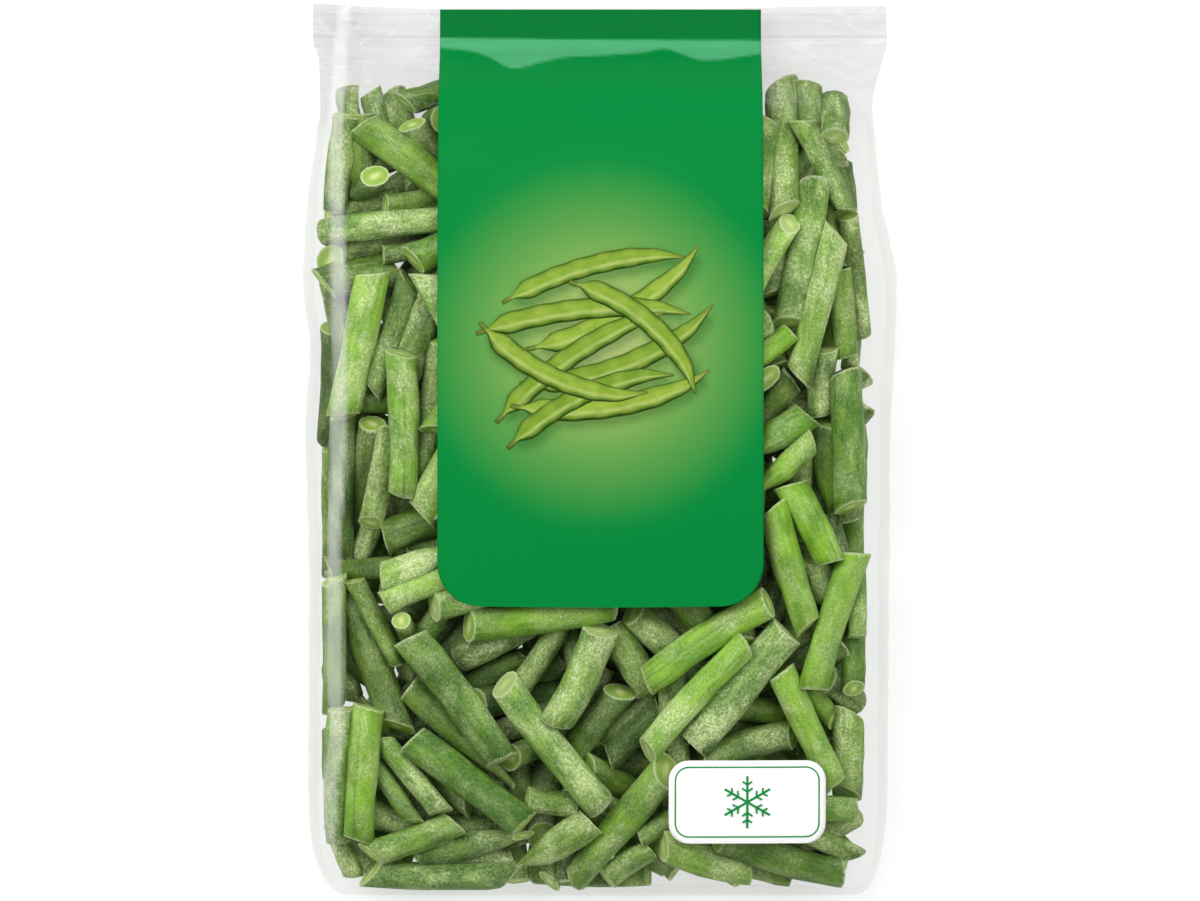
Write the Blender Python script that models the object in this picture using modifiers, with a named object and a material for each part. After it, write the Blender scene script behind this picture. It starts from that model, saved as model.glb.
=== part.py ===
# A clear film bag of frozen cut green beans, lying on its back.
# Millimetres throughout, turned to metres when a mesh is made.
# X runs across the bag, Y along it towards the header seal, Z up through its front.
# The origin is the middle of the flat spot that the bag rests on.

import math
import random

import bmesh
import bpy
import numpy as np
from mathutils import Matrix, Vector

MM = 0.001

# The bag
BAG_LENGTH = 267.0
FILM = 0.4  # wall of the pouch, thicker than real film so that it is a sound solid
HEADER_SEAL = 10.5  # the welded strip at the open end
SUNK = 1.4  # how far the round underside is pressed flat where the bag lies
TOP_END = BAG_LENGTH / 2
BOTTOM_END = -BAG_LENGTH / 2
CAVITY_TOP = TOP_END - HEADER_SEAL - 2.0  # where the two walls of film part
CAVITY_BOTTOM = BOTTOM_END + 1.0
ROUND_STEPS = 32  # points round the bag
VENT_RADIUS = 1.5  # the pin hole that lets air out, in the back near the header
VENT_Y = 113.0

# Edges and thickness of the filled bag at stations along it: (y, value)
LEFT_EDGE = ((BOTTOM_END, -78), (-131, -81), (-126, -84), (-118, -86.4), (-105, -87.3), (-33, -87),
             (6, -88.2), (31, -86.7), (49, -88.8), (75, -87.6), (105, -84), (117, -84.6),
             (123, -86.4), (TOP_END, -86.7))
RIGHT_EDGE = ((BOTTOM_END, 78), (-131, 81), (-126, 83.2), (-118, 85), (-105, 86.1), (-33, 86.6),
              (6, 87), (31, 88.2), (49, 88.8), (75, 84.3), (105, 81.8), (117, 84.9),
              (123, 86.5), (TOP_END, 86.4))
UNDERSIDE = ((BOTTOM_END, 8), (-131, 3.6), (-126, 0.3), (-116, -SUNK), (70, -SUNK), (98, -0.8),
             (108, 0.7), (116, 3.6), (122, 6.4), (TOP_END, 5.0))
FRONT = ((BOTTOM_END, 20), (-131, 26), (-126, 30.5), (-114, 36.5), (-90, 40), (-30, 41.5),
         (30, 41), (70, 38.5), (95, 33), (108, 25), (116, 14.6), (122, 7.4), (TOP_END, 6.0))
FILLED_ROUNDNESS = 3.2  # 2 is an ellipse, more is boxier
SEAL_ROUNDNESS = 2.2

# The printed panel and the plain white patch on the front
PANEL = {"left": -48.3, "right": 48.6, "bottom": -46.0, "top": 132.6, "corner": 12.5}
PATCH = {"left": 20.4, "right": 67.2, "bottom": -117.0, "top": -92.1, "corner": 6.0}
SKIN_GAP = 0.35
SKIN = 0.3

# The beans
BEAN_COUNT = 384
INNER_COUNT = 84  # the innermost beans, which no one can see: they hold their place but aren't made
BEAN_SIDES = 6
SHORTEST, LONGEST = 24.0, 45.0
THINNEST, THICKEST = 7.6, 10.4
CORNER = 1.06  # corners of a bean's section, in radii, so that its flats come near the true round
SHORT = 0.5  # a bean's axis stops this share of its radius short of each cut end
PRESSED = 0.86  # beans frozen together come this near, in the sum of their radii
TOUCHING = 0.89  # and are taken to be joined within this
CLEAR = 1.12  # and beans of the two masses this near, plus the gap
APART = 0.35  # gap between the two frozen masses, and to the film
ROUNDS = 420
SEED = 11

# Beans that show at the front of the bag, as the two ends' x, y, then thickness and depth:
# depth 0 lies against the film, 1 under one bean, 2 under two.
FRONT_BEANS = (
    (-64, 107, -53, 80, 8, 1), (-68, 108, -63, 90, 8, 2), (-58, 104, -39, 109, 9, 1),
    (-76, 97, -44, 79, 10, 0), (-79, 99, -79, 71, 9, 1), (-64, 73, -44, 79, 7, 1),
    (-83, 65, -44, 70, 8.5, 0), (-64, 57, -42, 63, 7, 1), (-66, 43, -50, 57, 9, 2),
    (-83, 49, -61, 50, 10, 1), (-67, 53, -76, 11, 10, 0), (-56, 50, -68, 19, 8.5, 1),
    (-49, 46, -56, 29, 10, 2), (-59, 29, -60, -13, 9, 0), (-49, 34, -51, -9, 8, 1),
    (-75, 11, -78, -32, 9.5, 1), (-80, 2, -81, -36, 7.5, 2), (-80, 37, -81, 3, 7, 2),
    (-61, 6, -68, -21, 8, 1), (-66, -18, -72, -36, 7.5, 2), (-64, -26, -39, -17, 10, 1),
    (-65, -38, -43, -29, 9, 0), (-64, -43, -48, -37, 8, 2), (-78, -38, -59, -82, 11, 1),
    (-74, -39, -61, -64, 7, 1), (-80, -38, -81, -77, 8.5, 1), (-81, -68, -70, -76, 9, 2),
    (-77, -78, -81, -118, 8.5, 0), (-69, -76, -74, -116, 9.5, 0), (-82, -84, -83, -105, 7, 2),
    (-65, -88, -48, -110, 9, 1), (-56, -86, -23, -112, 10.5, 0), (-68, -94, -56, -112, 6, 1),
    (-70, -109, -52, -118, 8.5, 2), (-53, -119, -24, -116, 9, 1), (-68, -125, -26, -127, 8.5, 0),
    (-80, -112, -79, -127, 8, 1), (-73, -112, -73, -128, 8, 1), (-56, -55, -28, -91, 10.5, 0),
    (-57, -71, -27, -102, 9, 1), (-42, -39, -53, -57, 7, 1), (-39, -52, 4, -49, 10, 0),
    (-41, -62, -17, -52, 8, 1), (-41, -72, -21, -62, 7.5, 2), (-13, -52, -24, -72, 8.5, 1),
    (-2, -52, -13, -80, 10.5, 0), (-28, -70, -4, -109, 9.5, 0), (5, -72, -12, -95, 10, 1),
    (0, -65, -6, -80, 8, 2), (5, -53, 15, -72, 10, 1), (12, -45, 30, -59, 9, 2),
    (14, -68, 50, -45, 9, 0), (14, -89, 43, -58, 8.5, 0), (26, -86, 55, -53, 11, 0),
    (18, -72, 2, -89, 9, 2), (-5, -90, 12, -101, 9, 2), (-3, -101, 8, -108, 8, 1),
    (20, -95, -7, -127, 10.5, 0), (-5, -110, -23, -128, 10, 0), (-22, -104, -10, -96, 8, 1),
    (0, -126, 16, -127, 8, 1), (6, -118, 26, -126, 10, 1), (13, -110, 30, -106, 8, 1),
    (18, -116, 43, -125, 10, 0), (40, -121, 79, -127, 10, 0), (56, -114, 79, -119, 7, 1),
    (58, -105, 80, -107, 9.5, 0), (55, -65, 69, -100, 9, 0), (52, -17, 61, -53, 10, 0),
    (79, -32, 62, -71, 9, 0), (68, -67, 79, -74, 9, 1), (76, -53, 77, -72, 8, 1),
    (65, -70, 69, -81, 7.5, 1), (76, -79, 73, -102, 10, 1), (38, -76, 57, -79, 8, 2),
    (33, -92, 59, -86, 10, 1), (52, 111, 55, 70, 10, 0), (68, 109, 64, 93, 9, 1),
    (59, 96, 78, 73, 8.5, 0), (70, 90, 74, 77, 8.5, 2), (76, 85, 78, 71, 7, 2),
    (65, 80, 57, 38, 9, 0), (71, 65, 59, 22, 8.5, 0), (77, 71, 79, 35, 7, 1),
    (73, 54, 74, 28, 8.5, 1), (75, 23, 77, -17, 10, 0), (68, 30, 65, 11, 9, 1),
    (61, 12, 42, -1, 10.5, 0), (64, 1, 45, -13, 8, 0), (69, 9, 69, -17, 8.5, 1),
    (57, -13, 74, -33, 10, 0), (70, -20, 75, -32, 7.5, 2), (64, -33, 67, -45, 8, 1),
    (51, 70, 52, 48, 9, 1), (52, 42, 55, 24, 9, 2), (80, -36, 78, -57, 6, 1),
)
# Beans that point out at the front, as x, y of the near end, x, y of the far one, and thickness
POINTING_BEANS = (
    (-77, 104, -78, 98, 9.5), (-51, 94, -51, 98, 9), (-68, 82, -72, 75, 9), (74, 98, 78, 103, 9.5),
    (50, 21, 44, 21, 8.5), (-59, -51, -57, -57, 6),
)
POINTING_DEPTH = 17.0


def slopes(points):
    """The slope of a smooth curve at each point, level where the values turn."""
    steps = [(b[1] - a[1]) / (b[0] - a[0]) for a, b in zip(points, points[1:])]
    middle = [2 * p * q / (p + q) if p * q > 0 else 0.0 for p, q in zip(steps, steps[1:])]
    return [steps[0], *middle, steps[-1]]


def through(points, y):
    """The value at y of a smooth curve through points, which are (y, value) with y rising."""
    places = [p[0] for p in points]
    k = min(max(sum(place <= y for place in places) - 1, 0), len(points) - 2)
    (y0, v0), (y1, v1) = points[k : k + 2]
    s0, s1 = slopes(points)[k : k + 2]
    span = y1 - y0
    t = min(max((y - y0) / span, 0.0), 1.0)
    rise = t * t * (3 - 2 * t)
    return v0 + (v1 - v0) * rise + span * t * (1 - t) * ((1 - t) * s0 - t * s1)


def section(y):
    """Centre x and z, half width, half height and roundness of the bag where it is cut at y."""
    left, right = through(LEFT_EDGE, y), through(RIGHT_EDGE, y)
    low, high = through(UNDERSIDE, y), through(FRONT, y)
    flatness = min(max((y - 105.0) / (CAVITY_TOP - 105.0), 0.0), 1.0)
    roundness = FILLED_ROUNDNESS + (SEAL_ROUNDNESS - FILLED_ROUNDNESS) * flatness
    return (left + right) / 2, (low + high) / 2, (right - left) / 2, (high - low) / 2, roundness


def front_height(x, y):
    """Height of the bag's front at x, y."""
    centre_x, centre_z, half_width, half_height, roundness = section(y)
    across = min(abs(x - centre_x) / half_width, 1.0)
    return centre_z + half_height * (1 - across**roundness) ** (1 / roundness)


def ring(y, inset):
    """Points round the bag at y, inset from its outside. The underside is pressed flat."""
    centre_x, centre_z, half_width, half_height, roundness = section(y)
    points = []
    for k in range(ROUND_STEPS):
        angle = 2 * math.pi * (k + 0.5) / ROUND_STEPS
        c, s = math.cos(angle), math.sin(angle)
        x = centre_x + (half_width - inset) * math.copysign(abs(c) ** (2 / roundness), c)
        z = centre_z + (half_height - inset) * math.copysign(abs(s) ** (2 / roundness), s)
        points.append(Vector((x, y, max(z, inset))))
    return points


def new_object(name, mesh_data, collection, material=None):
    """Turns a bmesh in millimetres into a named object in metres."""
    bmesh.ops.scale(mesh_data, vec=(MM, MM, MM), verts=mesh_data.verts)
    mesh = bpy.data.meshes.new(name)
    mesh_data.to_mesh(mesh)
    mesh_data.free()
    made = bpy.data.objects.new(name, mesh)
    collection.objects.link(made)
    if material:
        mesh.materials.append(material)
    return made


def paint(name, colour, roughness, alpha=1.0):
    """A plain Principled material."""
    material = bpy.data.materials.new(name)
    material.use_nodes = True
    shader = material.node_tree.nodes["Principled BSDF"]
    shader.inputs["Base Color"].default_value = (*colour, 1.0)
    shader.inputs["Roughness"].default_value = roughness
    shader.inputs["Alpha"].default_value = alpha
    material.diffuse_color = (*colour, alpha)
    return material


def new_collection(name):
    made = bpy.data.collections.new(name)
    bpy.context.scene.collection.children.link(made)
    return made


def pouch(stations, inset):
    """A closed loft through the bag's sections at the stations, inset from its outside."""
    loft = bmesh.new()
    rings = [[loft.verts.new(p) for p in ring(y, inset)] for y in stations]
    for near, far in zip(rings, rings[1:]):
        for k in range(ROUND_STEPS):
            n = (k + 1) % ROUND_STEPS
            loft.faces.new((near[k], far[k], far[n], near[n]))
    loft.faces.new(rings[0])
    loft.faces.new(reversed(rings[-1]))
    bmesh.ops.recalc_face_normals(loft, faces=loft.faces)
    return loft


def stations_between(low, high):
    """Places along the bag for its sections, closer together where its thickness changes fast."""
    wanted = [BOTTOM_END, -132, -129, -125, -119, -111, -100, -80, -55, -30, 0, 30, 50, 68, 82, 92,
              100, 106, 111, 115, 118.5, 121, 124, TOP_END]
    return [low, *[y for y in wanted if low + 0.8 < y < high - 0.8], high]


def apply_boolean(target, operation, solver, cutter=None, collection=None):
    """Joins or cuts, makes the result the target's own mesh, and removes what was used."""
    step = target.modifiers.new(operation.lower(), "BOOLEAN")
    step.operation = operation
    step.solver = solver
    if collection:
        step.operand_type = "COLLECTION"
        step.collection = collection
    else:
        step.object = cutter
    graph = bpy.context.evaluated_depsgraph_get()
    joined = bpy.data.meshes.new_from_object(target.evaluated_get(graph))
    target.modifiers.clear()
    target.data = joined
    for used in list(collection.objects) if collection else [cutter]:
        bpy.data.objects.remove(used)


def film_bag(part, tools, material):
    """The pouch of clear film: its outside less its inside, with a pin hole for the air."""
    bag = new_object("bag_film", pouch(stations_between(BOTTOM_END, TOP_END), 0.0), part, material)
    inside = new_object(
        "inside_of_bag", pouch(stations_between(CAVITY_BOTTOM, CAVITY_TOP), FILM), tools
    )
    apply_boolean(bag, "DIFFERENCE", "EXACT", cutter=inside)
    hole = bmesh.new()
    bmesh.ops.create_cone(
        hole, cap_ends=True, segments=12, radius1=VENT_RADIUS, radius2=VENT_RADIUS, depth=4.0,
        matrix=Matrix.Translation((0, VENT_Y, through(UNDERSIDE, VENT_Y))),
    )
    apply_boolean(bag, "DIFFERENCE", "EXACT", cutter=new_object("pin_hole", hole, tools))
    return bag


def film_height(x, y):
    """Height of the front of the bag as it is built, in flat faces between its stations."""
    stations = stations_between(BOTTOM_END, TOP_END)
    k = min(sum(station <= y for station in stations), len(stations) - 1) - 1
    heights = []
    for station in stations[k : k + 2]:
        line = ring(station, 0.0)[: ROUND_STEPS // 2]
        heights.append(np.interp(x, [p.x for p in reversed(line)], [p.z for p in reversed(line)]))
    return float(np.interp(y, stations[k : k + 2], heights))


def front_skin(name, edges, columns, rows, collection, material):
    """A thin skin with round lower corners that follows the front of the bag."""
    skin = bmesh.new()
    middle = (edges["left"] + edges["right"]) / 2
    half = (edges["right"] - edges["left"]) / 2
    corner = edges["corner"]
    lines = []
    for y in rows:
        below = max(edges["bottom"] + corner - y, 0.0) / corner
        above = max(y - (edges["top"] - corner), 0.0) / corner if edges["top"] < 100 else 0.0
        cut_back = corner * (1 - math.sqrt(1 - max(below, above) ** 2))
        xs = [middle + (half - cut_back) * (2 * c / columns - 1) for c in range(columns + 1)]
        lines.append([skin.verts.new((x, y, film_height(x, y) + SKIN_GAP)) for x in xs])
    for lower, upper in zip(lines, lines[1:]):
        for c in range(columns):
            skin.faces.new((lower[c], lower[c + 1], upper[c + 1], upper[c]))
    made = new_object(name, skin, collection, material)
    wall = made.modifiers.new("thickness", "SOLIDIFY")
    wall.thickness = SKIN * MM
    wall.offset = 1.0
    return made


def skin_rows(edges, round_top):
    """Rows of a skin: those of the bag under it, and closer ones down its round corners."""
    corner = edges["corner"]
    bends = [math.sin(math.radians(a)) * corner for a in (90, 78, 64, 48, 30, 10)]
    low = [edges["bottom"] + corner - b for b in bends]
    high = [edges["top"] - corner + b for b in reversed(bends)] if round_top else [edges["top"]]
    between = stations_between(BOTTOM_END, TOP_END)
    return [*low, *[y for y in between if low[-1] + 0.8 < y < high[0] - 0.8], *high]


class Beans:
    """Every bean as the two ends of its axis, its thickness, and the frozen mass that it is in."""

    def __init__(self):
        self.near, self.far, self.radius = [], [], []
        self.held, self.lift, self.mass = [], [], []

    def add(self, near, far, thickness, held, lift, mass):
        near, far = np.array(near, float).round(6), np.array(far, float).round(6)
        trim = (far - near) * (SHORT * thickness / 2 / math.dist(near, far))
        self.near.append(near + trim)
        self.far.append(far - trim)
        self.radius.append(thickness / 2)
        self.held.append(held)
        self.lift.append(lift)
        self.mass.append(mass)

    def finish(self):
        for name in ("near", "far", "radius", "held", "lift", "mass"):
            setattr(self, name, np.array(getattr(self, name), float))
        self.length = np.sqrt(((self.far - self.near) ** 2).sum(1))
        self.start = self.near.copy(), self.far.copy()


FRONT_MASS, BACK_MASS, INNER = 0, 1, 2
LAYER = 8.5  # each bean that lies over another puts it this much deeper
HELD = 0.3  # how firmly a bean at the front keeps its place in the photo's view
FRONT_EASE = 0.3  # how readily it gives way to a bean behind it
LEFT_ROOM, RIGHT_ROOM = 0.6, 4.0  # empty film that stands out past the beans at each side
TRIES = 14  # places tried for each bean behind the front ones, of which it takes the emptiest


def strewn_bean(draw):
    """A bean at random inside the bag: its two ends and its thickness."""
    while True:
        y = draw.uniform(-125, 103)
        x = draw.uniform(through(LEFT_EDGE, y) + 7, through(RIGHT_EDGE, y) - 7)
        under_panel = PANEL["left"] < x < PANEL["right"] and y > PANEL["bottom"]
        top = front_height(x, y) - (5 if under_panel else 18)
        z = draw.uniform(5, 37)
        if z < top:
            break
    length = draw.triangular(SHORTEST, LONGEST, 37)
    heading, tilt = draw.uniform(0, math.pi), draw.gauss(0, math.radians(9))
    half = Vector((math.cos(heading), math.sin(heading), math.tan(tilt))).normalized() * length / 2
    middle = Vector((x, y, z))
    return middle - half, middle + half, draw.uniform(THINNEST, THICKEST)


def emptiness(beans, near, far, thickness):
    """The least room between a new bean and those placed so far, in their thicknesses."""
    trial = Beans()
    trial.near, trial.far = [*beans.near, near], [*beans.far, far]
    trial.radius, trial.held, trial.lift, trial.mass = [*beans.radius, thickness / 2], [], [], []
    trial.finish()
    last = len(beans.radius)
    others = np.arange(last)
    apart = nearest_points(trial, others, np.full(last, last))[2]
    both = trial.radius[:last] + trial.radius[last]
    return (np.sqrt((apart**2).sum(1)) / both).min()


def first_places(room):
    """Beans at the front where they show, and the rest strewn through the bag behind them."""
    draw = random.Random(SEED)
    beans = Beans()
    for x1, y1, x2, y2, thickness, depth in FRONT_BEANS:
        sink = thickness / 2 + 1 + LAYER * depth
        ends = [(x, y, front_height(x, y) - sink) for x, y in ((x1, y1), (x2, y2))]
        beans.add(*ends, thickness, HELD, 0.0, FRONT_MASS)
    for x1, y1, x2, y2, thickness in POINTING_BEANS:
        top = front_height(x1, y1) - thickness / 2 - 1
        beans.add((x1, y1, top), (x2, y2, top - POINTING_DEPTH), thickness, HELD, 0.0, FRONT_MASS)
    while len(beans.near) < BEAN_COUNT:
        trials = [strewn_bean(draw) for _ in range(TRIES)]
        kept = [room.fit(*trial) for trial in trials]
        near, far, thickness = max(kept, key=lambda trial: emptiness(beans, *trial))
        middle = (near + far) / 2
        in_front = middle[2] > 0.5 * front_height(middle[0], middle[1])
        mass, lift = (FRONT_MASS, 0.06) if in_front else (BACK_MASS, -0.06)
        beans.add(near, far, thickness, 0.0, lift, mass)
    beans.finish()
    return beans


def nearest_points(beans, i, j):
    """For pairs i, j of beans: how far along each axis they come nearest, and the vector from j to i."""
    along_i, along_j = beans.far[i] - beans.near[i], beans.far[j] - beans.near[j]
    apart = beans.near[i] - beans.near[j]
    a, e = (along_i**2).sum(1), (along_j**2).sum(1)
    b, c, f = (along_i * along_j).sum(1), (along_i * apart).sum(1), (along_j * apart).sum(1)
    s = ((b * f - c * e) / np.maximum(a * e - b * b, 1e-9)).clip(0, 1)
    t = (b * s + f) / e
    s = np.where(t < 0, (-c / a).clip(0, 1), np.where(t > 1, ((b - c) / a).clip(0, 1), s))
    t = t.clip(0, 1)
    return s, t, apart + along_i * s[:, None] - along_j * t[:, None]


class Inside:
    """The room inside the bag, from tables of its sections.

    The tables are rounded, and what uses them only adds, multiplies, divides and takes square
    roots, so that the beans fall the same way on every computer.
    """

    def __init__(self):
        self.y = np.arange(BOTTOM_END, TOP_END, 0.5)
        self.rows = np.array([[round(value, 6) for value in section(y)] for y in self.y])
        self.steps = np.linspace(0, 1, 401)
        self.boxy, self.plain = (
            np.array([round((1 - step**n) ** (1 / n), 6) for step in self.steps])
            for n in (FILLED_ROUNDNESS, SEAL_ROUNDNESS)
        )

    def keep(self, points, radius):
        """Points moved so that a ball of the radius about each lies inside the film.

        A point keeps its place across the bag and moves up or down, unless it is past the side.
        Its own section counts, and one nearer the end of the bag, where the film is closer.
        """
        room = FILM + APART + 0.5 + (CLEAR - 1) * radius
        header = self.y > 60
        half_heights = self.rows[:, 3]
        last = np.interp(-(room + radius + 0.3), -half_heights[header], self.y[header])
        ahead = np.where(points[:, 1] > 0, 1.2, 0.9) * radius
        y = points[:, 1].clip(BOTTOM_END + room + radius, last - ahead)
        x, z = points[:, 0], points[:, 2]
        for where in (y + ahead * (y / 60).clip(-1, 1), y):
            centre_x, centre_z, half_width, half_height, n = (
                np.interp(where, self.y, column) for column in self.rows.T
            )
            wide, high = half_width - room - radius, np.maximum(half_height - room - radius, 0.2)
            x = (x - centre_x).clip(LEFT_ROOM - 0.99 * wide, 0.99 * wide - RIGHT_ROOM) + centre_x
            across = np.abs(x - centre_x) / wide
            boxiness = (n - SEAL_ROUNDNESS) / (FILLED_ROUNDNESS - SEAL_ROUNDNESS)
            arch = np.interp(across, self.steps, self.boxy) * boxiness
            arch += np.interp(across, self.steps, self.plain) * (1 - boxiness)
            z = (z - centre_z).clip(-high * arch, high * arch) + centre_z
        return np.stack([x, y, np.maximum(z, room + radius)], 1)

    def fit(self, near, far, thickness):
        """A bean moved as a whole until it lies inside the film."""
        ends = np.array([near, far], float)
        half = (ends[1] - ends[0]) / 2
        middle = (ends[0] + ends[1]) / 2
        for _ in range(6):
            kept = self.keep(np.array([middle - half, middle + half]), thickness / 2)
            middle = (kept[0] + kept[1]) / 2
        return middle - half, middle + half, thickness


def sideways(axis, share, apart):
    """Whether beans meet at their sides there, not by a cut end."""
    slant = np.abs((axis * apart).sum(1)) / np.sqrt((axis**2).sum(1) * (apart**2).sum(1))
    return ((share > 0) & (share < 1)) | (slant < 0.5)


def loose_pairs(beans, i, j):
    """For each clump that touches no other bean of its mass, the nearest pair that could join it."""
    s, t, apart = nearest_points(beans, i, j)
    near = np.sqrt((apart**2).sum(1)) / (beans.radius[i] + beans.radius[j])
    beside = sideways(beans.far[i] - beans.near[i], s, apart)
    beside &= sideways(beans.far[j] - beans.near[j], t, apart)
    beside &= (beans.mass[i] == beans.mass[j]) & (beans.mass[i] != INNER)
    clump = list(range(len(beans.radius)))
    for k in np.flatnonzero(beside & (near < TOUCHING)):
        one, other = clump[i[k]], clump[j[k]]
        if one != other:
            clump = [one if c == other else c for c in clump]
    main = {max(set(clump), key=lambda c: sum(k == c for k, m in zip(clump, beans.mass) if m == mass))
            for mass in (FRONT_MASS, BACK_MASS)}
    ties = []
    inner = {c for c, mass in zip(clump, beans.mass) if mass == INNER}
    for loose in sorted(set(clump) - main - inner):
        edge = [k for k in np.flatnonzero(beside) if (clump[i[k]] == loose) != (clump[j[k]] == loose)]
        if edge:
            best = min(edge, key=lambda k: near[k])
            ties.append((i[best], j[best]))
    return ties


def set_inner_apart(beans):
    """Marks the beans that lie deepest in the bag, away from its film on every side."""
    middle = (beans.near + beans.far) / 2
    depth = np.array([
        min(front_height(x, y) - z, z, 87 - abs(x), 133 + y, (120 - y) / 2) for x, y, z in middle
    ]).round(3)
    front_rows = len(FRONT_BEANS) + len(POINTING_BEANS)
    depth[:front_rows] = 0
    beans.mass[np.argsort(-depth, kind="stable")[:INNER_COUNT]] = INNER


def spread(beans, room):
    """Moves beans that lie through each other apart, round by round, inside the bag.

    Late on, clumps that have come loose are tied to their nearest neighbours.
    """
    everyone = np.triu_indices(len(beans.radius), 1)
    tied = set()
    for turn in range(ROUNDS):
        if turn == ROUNDS // 2:
            set_inner_apart(beans)
        if turn % 15 == 0:
            middle = (beans.near + beans.far) / 2
            gap = np.sqrt(((middle[everyone[0]] - middle[everyone[1]]) ** 2).sum(1))
            reach = (beans.length[everyone[0]] + beans.length[everyone[1]]) / 2 + 14
            i, j = everyone[0][gap < reach], everyone[1][gap < reach]
            both = beans.radius[i] + beans.radius[j]
            same = (beans.mass[i] == beans.mass[j]) | (beans.mass[i] == INNER) | (beans.mass[j] == INNER)
            wanted = np.where(same, PRESSED * both, CLEAR * both + APART)
            if turn > ROUNDS // 2:
                tied.update(loose_pairs(beans, i, j))
            pull = np.array([-1.0 if pair in tied else 0.0 for pair in zip(i, j)])
        calm = max(1 - turn / (0.85 * ROUNDS), 0.0)
        s, t, apart = nearest_points(beans, i, j)
        distance = np.maximum(np.sqrt((apart**2).sum(1)), 1e-6)
        push = (wanted - distance).clip(pull, 3)
        move = apart / distance[:, None] * (0.7 * push)[:, None]
        ease = np.where(beans.held > 0, FRONT_EASE, 1.0)
        for index, share, way in ((i, s, ease[i]), (j, t, -ease[j])):
            part_move = move * (way / (ease[i] + ease[j]))[:, None]
            np.add.at(beans.near, index, part_move * (1 - share)[:, None])
            np.add.at(beans.far, index, part_move * share[:, None])
        for ends, start in ((beans.near, beans.start[0]), (beans.far, beans.start[1])):
            ends += (beans.held * calm)[:, None] * (start - ends)
            ends[:, 2] += beans.lift * calm
        for _ in range(2):
            middle = (beans.near + beans.far) / 2
            along = beans.far - beans.near
            along *= (beans.length / 2 / np.sqrt((along**2).sum(1)))[:, None]
            beans.near = room.keep(middle - along, beans.radius)
            beans.far = room.keep(middle + along, beans.radius)


def leave_out_clashes(beans):
    """Takes out a bean of the back mass where it still comes too near one of the front mass."""
    i, j = np.triu_indices(len(beans.radius), 1)
    apart = nearest_points(beans, i, j)[2]
    near = np.sqrt((apart**2).sum(1)) < CORNER * (beans.radius[i] + beans.radius[j]) + 0.3
    for k in np.flatnonzero(near & (beans.mass[i] != beans.mass[j])):
        if INNER not in (beans.mass[i[k]], beans.mass[j[k]]):
            beans.mass[i[k] if beans.mass[i[k]] == BACK_MASS else j[k]] = INNER


def bean_solid(near, far, radius, twist):
    """One cut bean as a six-sided bar, a little slimmer towards its ends."""
    axis = Vector(far) - Vector(near)
    length = axis.length + 2 * SHORT * radius
    turn = axis.to_track_quat("Z", "Y").to_matrix().to_4x4()
    place = Matrix.Translation((Vector(near) + Vector(far)) / 2) @ turn
    bar = bmesh.new()
    bmesh.ops.create_cone(
        bar, cap_ends=True, segments=BEAN_SIDES, radius1=CORNER * radius, radius2=CORNER * radius,
        depth=length, matrix=place @ Matrix.Rotation(twist, 4, "Z"),
    )
    return bar


def drop_scraps(whole):
    """Keeps only the largest piece of a mesh."""
    mesh = bmesh.new()
    mesh.from_mesh(whole.data)
    left, clumps = set(mesh.verts), []
    while left:
        clump, edge = set(), [left.pop()]
        while edge:
            point = edge.pop()
            clump.add(point)
            nearby = {e.other_vert(point) for e in point.link_edges} & left
            left -= nearby
            edge.extend(nearby)
        clumps.append(clump)
    clumps.sort(key=len)
    for clump in clumps[:-1]:
        bmesh.ops.delete(mesh, geom=list(clump), context="VERTS")
    mesh.to_mesh(whole.data)
    mesh.free()


def frozen_mass(name, beans, mass, part, tools, material):
    """All the beans of one mass, joined into one solid."""
    draw = random.Random(SEED + mass)
    pieces = []
    for k in np.flatnonzero(beans.mass == mass):
        bar = bean_solid(beans.near[k], beans.far[k], beans.radius[k], draw.uniform(0, math.pi))
        pieces.append(new_object(f"bean_{k}", bar, tools, material))
    whole = pieces[0]
    whole.name = whole.data.name = name
    tools.objects.unlink(whole)
    part.objects.link(whole)
    apply_boolean(whole, "UNION", "MANIFOLD", collection=tools)
    drop_scraps(whole)


def main():
    for thing in list(bpy.data.objects):
        bpy.data.objects.remove(thing)
    part = new_collection("frozen_green_bean_bag")
    tools = new_collection("cutters")
    film = film_bag(part, tools, paint("clear_film", (0.85, 0.88, 0.87), 0.2, 0.35))
    green = paint("frozen_bean_front", (0.10, 0.30, 0.06), 0.5)
    deep_green = paint("frozen_bean_back", (0.07, 0.24, 0.05), 0.5)
    room = Inside()
    beans = first_places(room)
    spread(beans, room)
    leave_out_clashes(beans)
    frozen_mass("beans_front", beans, FRONT_MASS, part, tools, green)
    frozen_mass("beans_back", beans, BACK_MASS, part, tools, deep_green)
    print_green = paint("print", (0.0, 0.30, 0.05), 0.35)
    plain_white = paint("white", (0.9, 0.9, 0.9), 0.4)
    front_skin("printed_panel", PANEL, 10, skin_rows(PANEL, False), part, print_green)
    front_skin("white_patch", PATCH, 5, skin_rows(PATCH, True), part, plain_white)


main()
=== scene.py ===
# The looks of a clear film bag of frozen cut green beans, lying on its back.
# The bag's form and the places of its beans are worked out in millimetres, as for its solids.
# X runs across the bag, Y along it towards the header seal, Z up through its front.

import math
import random
from functools import partialmethod

import bpy
import numpy as np
from mathutils import Euler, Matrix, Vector, noise


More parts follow.
